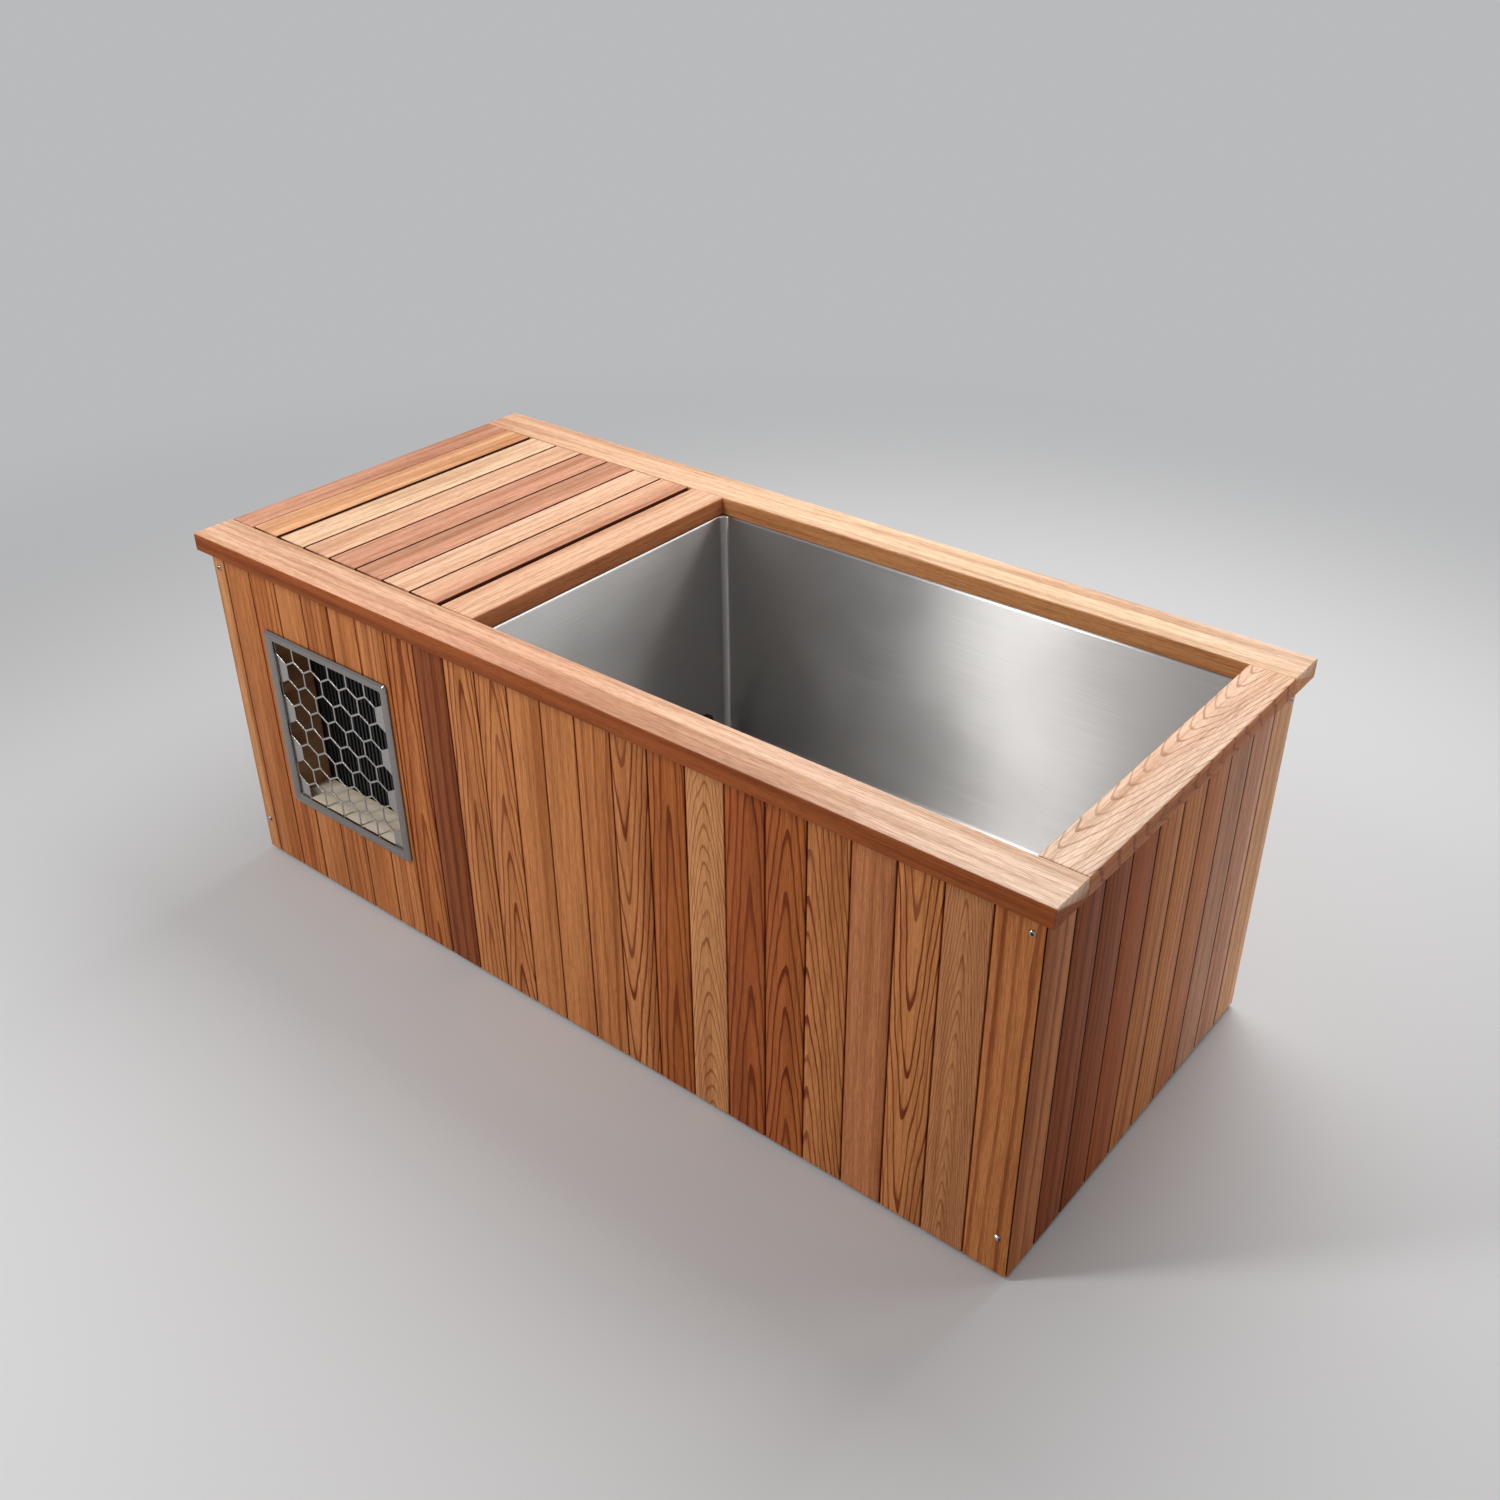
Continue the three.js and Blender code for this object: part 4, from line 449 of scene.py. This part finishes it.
def cut_box(made, low, high):
    """Cuts a square hole out of a piece."""
    centre = (Vector(low) + Vector(high)) / 2
    size = Vector(high) - Vector(low)
    form = bmesh.new()
    bmesh.ops.create_cube(form, size=1)
    bmesh.ops.scale(form, vec=size, verts=form.verts)
    bmesh.ops.translate(form, vec=centre, verts=form.verts)
    mesh = bpy.data.meshes.new("hole")
    form.to_mesh(mesh)
    form.free()
    cutter = bpy.data.objects.new("hole", mesh)
    bpy.context.scene.collection.objects.link(cutter)
    saw = made.modifiers.new("hole", "BOOLEAN")
    saw.operation = "DIFFERENCE"
    saw.solver = "EXACT"
    saw.object = cutter
    plain_mesh(made)
    bpy.data.objects.remove(cutter)
    return made


def figure_in(made, axes, edges, grains, outer, groove=None, side_from=SIDE_FROM):
    """Gives each board its own stretch of log: where it lay from the heart, its tone and its figure.

    A tone may drift across the board ("one to another"), and along it where it is given for three places.
    Shade is painted into the grooves between boards, so a grooved side is darkened there.
    """
    across, out, along = ("xyz".index(axis[-1]) for axis in axes)
    sign = -1 if axes[1][0] == "-" else 1
    mesh = made.data
    places = np.zeros(len(mesh.vertices) * 3)
    mesh.vertices.foreach_get("co", places)
    places = places.reshape(-1, 3)
    which = np.clip(np.searchsorted(edges, places[:, across]) - 1, 0, len(grains) - 1)
    start, end = places[:, along].min(), places[:, along].max()
    log = np.zeros((len(places), 3))
    tone = np.zeros((len(places), 4))
    figure = np.zeros((len(places), 3))
    for i, (tones, figure_name, shift, *side) in enumerate(grains):
        mine = which == i
        heart, behind, climb, spacing, contrast, thinness = FIGURES[figure_name]
        width = edges[i + 1] - edges[i]
        middle = (edges[i + 1] + edges[i]) / 2
        log[mine, 0] = places[mine, across] - middle - heart * width
        log[mine, 1] = (places[mine, out] - outer) * sign + behind * MM
        log[mine, 2] = places[mine, along] + shift
        share = np.clip((places[mine, across] - edges[i]) / width, 0, 1)[:, None]
        stages = []
        for stage in (tones if isinstance(tones, tuple) else (tones, tones, tones)):
            near, far = (np.array(colour(TONES[name])) for name in (stage.split(" to ") * 2)[:2])
            stages.append(near + (far - near) * share)
        reach = 2 * ((places[mine, along] - start) / (end - start))[:, None]
        tone[mine] = np.where(reach < 1, stages[0] + (stages[1] - stages[0]) * reach,
                              stages[1] + (stages[2] - stages[1]) * (reach - 1))
        # Painted shade: the faces below a rail's or slat's top take the darker side tone
        if side:
            tone[mine & (np.abs(places[:, out] - outer) > side_from)] = colour(TONES[side[0]])
        tone[mine, 3] = thinness
        figure[mine] = (spacing * MM, climb, contrast)
    # Painted shade: the faces sunk into the grooves between boards are darkened
    if groove:
        inside = (places[:, across] > edges[0] + THICK_END) & (places[:, across] < edges[-1] - THICK_END)
        sunk = np.abs(places[:, out] - outer) > GROOVE_FROM
        tone[sunk & inside, :3] *= groove
    for name, kind, field, values in (("log", "FLOAT_VECTOR", "vector", log),
                                      ("tone", "FLOAT_COLOR", "color", tone),
                                      ("figure", "FLOAT_VECTOR", "vector", figure)):
        mesh.attributes.new(name, kind, "POINT").data.foreach_set(field, values.astype(np.float32).ravel())
    return made


def stands_for(made, *nodes):
    """The piece takes the place and the body of these nodes."""
    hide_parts(*nodes)
    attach(made, BODY_OF[nodes[0]])
    return made


def cladding(node_name, axes, grains, narrow=None, hole=None, groove=GROOVE_PAINTED_SHADE):
    """One side of the case: upright boards, eased in front and closed behind by tongue and groove."""
    low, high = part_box(node_name)
    across, out = "xyz".index(axes[0]), "xyz".index(axes[1][-1])
    start, end = low[across], high[across]
    count = len(grains)
    if narrow == "first":
        edges = [start] + [start + NARROW_BOARD + i * (end - start - NARROW_BOARD) / (count - 1)
                           for i in range(count)]
    elif narrow == "last":
        edges = [start + i * (end - start - NARROW_BOARD) / (count - 1) for i in range(count)] + [end]
    else:
        edges = [start + i * (end - start) / count for i in range(count + 1)]
    outer = low[out] if axes[1][0] == "-" else high[out]
    points, faces = [], []
    for left, right in zip(edges, edges[1:]):
        board_low, board_high = Vector(low), Vector(high)
        board_low[across] = left + (0 if left == start else BOARD_GAP / 2)
        board_high[across] = right - (0 if right == end else BOARD_GAP / 2)
        corners = (SHARP, SHARP, CORNER if right == end else GROOVE, CORNER if left == start else GROOVE)
        more_points, more_faces = board(board_low, board_high, axes, corners)
        for point in more_points:
            if abs(point[out] - outer) > (high[out] - low[out]) / 2:
                tongue = TONGUE_GAP / 2
                point[across] = left + tongue if point[across] < (left + right) / 2 else right - tongue
        faces += [tuple(i + len(points) for i in face) for face in more_faces]
        points += more_points
    for point in points:
        mitre = abs(point[out] - outer)
        point[across] = min(max(point[across], start + mitre), end - mitre)
    made = mesh_object(node_name.replace("cladding", "cedar_boards"), points, faces, cedar)
    if hole:
        cut_box(made, *hole)
    figure_in(made, axes, edges, grains, outer, groove=groove)
    return stands_for(made, node_name)


def single_board(node_name, axes, corners, grain, side_from=SIDE_FROM):
    """One loose board, rail or slat with its own figure."""
    low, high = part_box(node_name)
    across, out = "xyz".index(axes[0]), "xyz".index(axes[1][-1])
    points, faces = board(low, high, axes, corners)
    made = mesh_object(f"cedar_{node_name}", points, faces, cedar)
    outer = low[out] if axes[1][0] == "-" else high[out]
    figure_in(made, axes, [low[across], high[across]], [grain], outer, side_from=side_from)
    return stands_for(made, node_name)


# Each board's tone, its figure and where it lay along the log, in metres. Rails also name a tone for their
# sides, painted shade
FRONT_GRAIN = [
    ("straw", "plain", 1.1), ("tan", "plain", 2.3), ("amber to tan", "lines", 3.7),
    ("honey", "plain", 4.2), ("tan", "lines", 5.9), ("tan", "plain", 6.4),
    ("honey", "lines", 7.7), ("amber to tan", "tall arch", 8.25), ("chocolate", "streaks", 9.2),
    ("honey", "loops", 10.3), ("honey", "peaks up", 11.1), ("honey", "plain", 12.6),
    ("honey", "plain", 13.4), ("tan", "streaks", 14.8), ("honey", "dark vees", 15.3),
    ("amber", "tall arch", 16.2), ("straw", "arches", 17.5), ("russet", "bold strokes", 18.9),
    ("russet to amber", "peaks up", 19.4), ("honey", "hooks", 20.6), ("salmon", "plain", 21.3),
    ("honey", "peaks down", 22.8), ("grey tan", "feathers", 23.2), ("tan", "streaks", 24.7),
]
RIGHT_GRAIN = [
    ("umber to tan", "streaks", 31.2), ("chestnut", "streaks", 32.6), ("chestnut", "lines", 33.1),
    ("russet", "plain", 34.7), ("tan", "streaks", 35.3), ("honey", "lines", 36.8), ("salmon", "plain", 37.4),
    ("dusky rose", "plain", 38.2), ("pale rose", "plain", 39.6), ("pale honey", "plain", 40.1),
]


# The stack that the back and the left end are boarded from: where it begins in the log and each board's step
STACK_TONES = ["tan", "honey", "amber", "salmon", "umber", "straw", "russet", "honey"]
STACK_FIGURES = ["plain", "lines", "streaks", "peaks up", "peaks down", "arches", "loops", "feathers",
                 "plain"]
STACK_FROM = 50
STACK_STEP = 3.3


def drawn_grain(count, seed):
    """Tones and figures for one side's boards, drawn from the stack in a fixed order."""
    stack = random.Random(seed)
    return [(stack.choice(STACK_TONES), stack.choice(STACK_FIGURES), STACK_FROM + seed + STACK_STEP * i)
            for i in range(count)]


vent_low, vent_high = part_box("vent_honeycomb")
front_low, front_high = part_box("cladding_front")
vent_hole = ((vent_low.x, front_low.y - HOLE_PAST, vent_low.z),
             (vent_high.x, front_high.y + HOLE_PAST, vent_high.z))
cladding("cladding_front", ("x", "-y", "z"), FRONT_GRAIN, narrow="first", hole=vent_hole)
cladding("cladding_right", ("y", "x", "z"), RIGHT_GRAIN, groove=GROOVE_PAINTED_DEEP_SHADE)
cladding("cladding_back", ("x", "y", "z"), drawn_grain(FRONT_BOARDS, 3), narrow="last")
cladding("cladding_left", ("y", "-x", "z"), drawn_grain(END_BOARDS, 8), groove=GROOVE_PAINTED_DEEP_SHADE)

# Each rail's sides take its last, darker tone: painted shade under the light from above
RAILS = {
    # The front and back rails grow paler towards their right ends: partly their own tone, partly a painted
    # highlight
    "rim_front": ("y", "x", (("pale salmon to cream", "pale rose to pale salmon", "ivory"),
                             "plain", 61.3, "brown")),
    "rim_back": ("y", "x", (("pale salmon", "pale straw", "pale straw to ivory"), "plain", 62.8, "straw")),
    "rim_left": ("x", "y", ("pale rose", "plain", 63.1, "dusky rose")),
    "rim_right": ("x", "y", (("ivory", "cream to ivory", "cream"), "cathedral", 64.55, "salmon")),
    "rim_cross": ("x", "y", ("pale salmon", "plain", 65.2, "salmon")),
}
for rail, (across, along, grain) in RAILS.items():
    single_board(rail, (across, "z", along), (EASED, EASED, ROUNDED, ROUNDED), grain)

SLATS = {
    "slat_fixed": ("pale honey", "plain", 71.2),
    "hatch_slat_1": ("pale straw", "plain", 72.7),
    "hatch_slat_2": ("pale salmon", "plain", 73.1),
    "hatch_slat_3": ("pale rose", "plain", 74.9),
    "hatch_slat_4": ("dusky rose to pale rose", "plain", 75.3),
    "hatch_slat_5": ("cream to pale salmon", "plain", 76.6),
    "hatch_slat_6": ("pale salmon to pale rose", "plain", 77.4),
}
for slat, grain in SLATS.items():
    # The slats' sides take a dark tone: painted shade in the gaps between them
    single_board(slat, ("x", "z", "y"), (EASED,) * 4, (*grain, "bark"), SLAT_SIDE_FROM)
for batten, shift in {"hatch_batten_front": 81.5, "hatch_batten_back": 82.5}.items():
    single_board(batten, ("y", "z", "x"), (EASED,) * 4, ("tan", "plain", shift))


# Metal, plastic and pipe: the solids with their sharp edges broken, as on pressed, moulded and turned pieces

FLOOR_NORMAL = 0.7
EVEN_WEIGHT = 100


def brush_map(mesh):
    """Lays the brushing along each sheet: level on the walls, lengthwise on the floor."""
    layer = mesh.uv_layers.new(name="brush")
    for face in mesh.polygons:
        normal = face.normal
        for corner in face.loop_indices:
            place = mesh.vertices[mesh.loops[corner].vertex_index].co
            if abs(normal.z) > FLOOR_NORMAL:
                layer.data[corner].uv = (place.x, place.y)
            elif abs(normal.x) > abs(normal.y):
                layer.data[corner].uv = (place.y, place.z)
            else:
                layer.data[corner].uv = (place.x, place.z)


def dressed(node_name, material, ease_mm, steps=2, brushed=False):
    """A copy of a solid, merged, its edges rounded a little and its curved faces smooth."""
    mesh = frame["nodes"][node_name].data.copy()
    form = bmesh.new()
    form.from_mesh(mesh)
    bmesh.ops.remove_doubles(form, verts=form.verts, dist=MERGE)
    bmesh.ops.dissolve_limit(form, angle_limit=math.radians(ONE_FACE), verts=form.verts, edges=form.edges)
    form.to_mesh(mesh)
    form.free()
    made = shown(f"dressed_{node_name}", mesh, material, SOLID_SMOOTH)
    bevel = made.modifiers.new("broken edges", "BEVEL")
    bevel.width = ease_mm * MM
    bevel.segments = steps
    bevel.limit_method = "ANGLE"
    bevel.angle_limit = math.radians(SOLID_SMOOTH)
    bevel.use_clamp_overlap = True
    even = made.modifiers.new("even faces", "WEIGHTED_NORMAL")
    even.keep_sharp = False
    even.weight = EVEN_WEIGHT
    plain_mesh(made)
    if brushed:
        brush_map(made.data)
    return stands_for(made, node_name)


dressed("liner", liner_steel, 0.4, brushed=True)
dressed("vent_frame", trim_steel, 2.0, steps=4, brushed=True)
dressed("vent_honeycomb", sheet_steel, 0.5, brushed=True)
# The duct's floor takes a paler lining than its walls: painted light, where light falls on the floor
duct = dressed("vent_duct", lining, 1.0)
duct.data.materials.append(painted_lit_floor)
for face in duct.data.polygons:
    face.material_index = int(face.center.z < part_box("vent_duct")[0].z + DUCT_LIT_FLOOR)

# Equipment in the bay: how far the edges of each piece are broken, in millimetres
EQUIPMENT = {
    "drip_tray": 0.5, "fan_motor": 1.0, "condenser_coil": 0.3, "compressor": 2.0, "pump": 1.5,
    "fan_shroud": 0.8, "fan_rotor": 0.4, "suction_fitting": 0.6, "return_fitting": 0.6,
    "filter_housing": 0.8, "power_rocker": 0.4, "heat_exchanger": 1.5, "filter_lid": 1.2,
    "control_box": 1.5, "pipe_pump_to_filter": 0.3, "pipe_filter_to_chiller": 0.3, "pipe_return": 0.3,
    "filter_cartridge": 0.3, "drain_valve": 0.5, "valve_lever": 0.6,
}
for name, ease_mm in EQUIPMENT.items():
    dressed(name, FINISHES[SLOT_OF[name]], ease_mm)

# Framing, plywood and foam keep their solids and get their finish
for name, slot in SLOT_OF.items():
    if slot not in ("framing", "plywood", "foam"):
        continue
    low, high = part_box(name)
    size = high - low
    longest = "xyz"[max(range(3), key=lambda axis: size[axis])]
    finish = FINISHES[slot] if slot == "foam" else FINISHES[slot][longest]
    frame["nodes"][name].data.materials.clear()
    frame["nodes"][name].data.materials.append(finish)


# Screws: button heads with a hexagon socket, set where the corner boards meet the posts

def screw_pattern():
    """One button head round +Z, let into the board below the origin, with a deep hexagon socket."""
    rings = [(SCREW_HEAD / 2, -SCREW_SUNK, SCREW_SIDES)]
    rings += [(across * SCREW_HEAD, up * SCREW_HIGH, SCREW_SIDES) for across, up in BUTTON]
    rings += [(SCREW_SOCKET / 2, SCREW_HIGH, SOCKET_SIDES),
              (SCREW_SOCKET / 2, SOCKET_FLOOR - SCREW_SUNK, SOCKET_SIDES)]
    flat = 2 * math.pi / SOCKET_SIDES
    form = bmesh.new()
    loops = []
    for radius, height, sides in rings:
        loop = []
        for i in range(SCREW_SIDES):
            turn = 2 * math.pi * i / SCREW_SIDES
            reach = radius
            if sides == SOCKET_SIDES:
                reach = radius * math.cos(flat / 2) / math.cos(turn % flat - flat / 2)
            loop.append(form.verts.new((reach * math.cos(turn), reach * math.sin(turn), height)))
        loops.append(loop)
    for inner, outer in zip(loops, loops[1:]):
        for i in range(SCREW_SIDES):
            j = (i + 1) % SCREW_SIDES
            form.faces.new((inner[i], inner[j], outer[j], outer[i]))
    form.faces.new(loops[-1])
    form.faces.new(list(reversed(loops[0])))
    mesh = bpy.data.meshes.new("screw_pattern")
    form.to_mesh(mesh)
    form.free()
    pattern = bpy.data.objects.new("screw_pattern", mesh)
    bpy.context.scene.collection.objects.link(pattern)
    return pattern


def screw_tree():
    """Sets the pattern on every point, turned as the point says, and gives it its steel."""
    tree = bpy.data.node_groups.new("screws_on_points", "GeometryNodeTree")
    tree.interface.new_socket("Places", in_out="INPUT", socket_type="NodeSocketGeometry")
    pattern = tree.interface.new_socket("Screw", in_out="INPUT", socket_type="NodeSocketObject")
    tree.interface.new_socket("Screws", in_out="OUTPUT", socket_type="NodeSocketGeometry")
    given = node(tree, "NodeGroupInput")
    head = node(tree, "GeometryNodeObjectInfo", {"Object": given.outputs["Screw"]}).outputs["Geometry"]
    turn = node(tree, "GeometryNodeInputNamedAttribute", {"Name": "turn"},
                data_type="FLOAT_VECTOR").outputs[0]
    facing = node(tree, "FunctionNodeEulerToRotation", {0: turn}).outputs[0]
    placed = node(tree, "GeometryNodeInstanceOnPoints",
                  {"Points": given.outputs["Places"], "Instance": head, "Rotation": facing}).outputs[0]
    real = node(tree, "GeometryNodeRealizeInstances", {0: placed}).outputs[0]
    steel = node(tree, "GeometryNodeSetMaterial", {"Geometry": real, "Material": screw_steel}).outputs[0]
    node(tree, "NodeGroupOutput", {0: steel})
    return tree, pattern.identifier


def screws(name, places):
    """Screws at (point, turn) places, as one plain mesh."""
    mesh = bpy.data.meshes.new(name)
    mesh.from_pydata([point for point, turn in places], [], [])
    turns = mesh.attributes.new("turn", "FLOAT_VECTOR", "POINT")
    turns.data.foreach_set("vector", [value for point, turn in places for value in turn])
    made = bpy.data.objects.new(name, mesh)
    bpy.context.scene.collection.objects.link(made)
    pattern = screw_pattern()
    tree, identifier = screw_tree()
    grown = made.modifiers.new("screws", "NODES")
    grown.node_group = tree
    grown[identifier] = pattern
    plain_mesh(made)
    bpy.data.objects.remove(pattern)
    made.data.polygons.foreach_set("use_smooth", [True] * len(made.data.polygons))
    made.data.set_sharp_from_angle(angle=math.radians(SCREW_SMOOTH))
    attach(made, "tub")
    return made


def corner_screws():
    """Front and back have four each, near their corners. Each end has one high up by its back corner.

    A screw stops at any turn of its socket, so those of the front and back are turned by their height.
    """
    low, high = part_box("cladding_front")
    right_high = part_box("cladding_right")[1]
    back_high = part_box("cladding_back")[1]
    left_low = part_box("cladding_left")[0]
    top, foot = high.z - SCREW_TOP, low.z + SCREW_LOW
    places = []
    for x in (low.x + SCREW_IN, high.x - SCREW_IN):
        for z in (top, foot):
            places.append(((x, low.y, z), (math.pi / 2, 0, 0.4 + 9 * z)))
            places.append(((x, back_high.y, z), (-math.pi / 2, 0, 1.1 + 7 * z)))
    places.append(((right_high.x, right_high.y - SCREW_IN, top), (0, math.pi / 2, 0)))
    places.append(((left_low.x, right_high.y - SCREW_IN, top), (0, -math.pi / 2, 0)))
    return places


screws("corner_screws", corner_screws())


# Stage, light and camera

def pale_floor():
    """Matt painted floor: it takes the shadow near the object and runs into the backdrop further off."""
    material, tree, shader = finish_of("studio_floor_matt_paint", Base_Color=colour(FLOOR_TONE),
                                       Roughness=0.6)
    place = node(tree, "ShaderNodeTexCoord").outputs["Object"]
    away = node(tree, "ShaderNodeVectorMath", {0: place}, operation="LENGTH").outputs["Value"]
    far = node(tree, "ShaderNodeMapRange", {0: away, 1: FLOOR_NEAR, 2: FLOOR_FAR},
               interpolation_type="SMOOTHSTEP").outputs[0]
    seen = node(tree, "ShaderNodeLightPath").outputs["Is Camera Ray"]
    share = node(tree, "ShaderNodeMath", {0: far, 1: seen}, operation="MULTIPLY").outputs[0]
    backdrop = node(tree, "ShaderNodeEmission",
                    {"Color": colour(BACKDROP_TONE), "Strength": BACKDROP_LEVEL}).outputs[0]
    mixed = node(tree, "ShaderNodeMixShader", {0: share, 1: shader.outputs[0], 2: backdrop}).outputs[0]
    tree.links.new(mixed, tree.nodes["Material Output"].inputs["Surface"])
    return material


def studio():
    """A pale floor, a strip lamp at the front left, broad lamps overhead and at the right, an even sky."""
    mesh = bpy.data.meshes.new("floor")
    corners = [(FLOOR_REACH * x, FLOOR_REACH * y, 0) for x, y in ((-1, -1), (1, -1), (1, 1), (-1, 1))]
    mesh.from_pydata(corners, [], [(0, 1, 2, 3)])
    floor = bpy.data.objects.new("floor", mesh)
    bpy.context.scene.collection.objects.link(floor)
    floor.data.materials.append(pale_floor())
    for name, (place, size, power) in LAMPS.items():
        lamp = bpy.data.lights.new(name, "AREA")
        lamp.shape = "RECTANGLE"
        lamp.size, lamp.size_y = size
        lamp.energy = power
        lit = bpy.data.objects.new(name, lamp)
        lit.location = place
        lit.rotation_mode = "QUATERNION"
        lit.rotation_quaternion = (LAMP_AIM - Vector(place)).to_track_quat("-Z", "Y")
        bpy.context.scene.collection.objects.link(lit)
    world = bpy.data.worlds.new("studio")
    world.use_nodes = True
    sky = world.node_tree
    rays = node(sky, "ShaderNodeLightPath").outputs
    seen = node(sky, "ShaderNodeMath", {0: rays["Is Camera Ray"], 1: rays["Is Glossy Ray"]},
                operation="MAXIMUM").outputs[0]
    shown_through = node(sky, "ShaderNodeMath", {0: seen, 1: rays["Is Transmission Ray"]},
                         operation="MAXIMUM").outputs[0]
    level = node(sky, "ShaderNodeMapRange", {0: shown_through, 3: SKY_LEVEL, 4: BACKDROP_LEVEL}).outputs[0]
    sky.nodes["Background"].inputs["Color"].default_value = colour(BACKDROP_TONE)
    sky.links.new(level, sky.nodes["Background"].inputs["Strength"])
    bpy.context.scene.world = world


def photographer():
    """The camera where the photographer stood."""
    turn, drop = math.radians(CAMERA_TURN), math.radians(CAMERA_DROP)
    back = Vector((math.sin(turn) * math.cos(drop), -math.cos(turn) * math.cos(drop), math.sin(drop)))
    lens = bpy.data.cameras.new("camera")
    lens.lens = LENS
    camera = bpy.data.objects.new("camera", lens)
    camera.location = CAMERA_AT
    camera.rotation_mode = "QUATERNION"
    roll = Quaternion((0, 0, 1), math.radians(CAMERA_ROLL))
    camera.rotation_quaternion = (-back).to_track_quat("-Z", "Y") @ roll
    bpy.context.scene.collection.objects.link(camera)
    bpy.context.scene.camera = camera


studio()
photographer()
bpy.context.scene.view_settings.view_transform = "Standard"
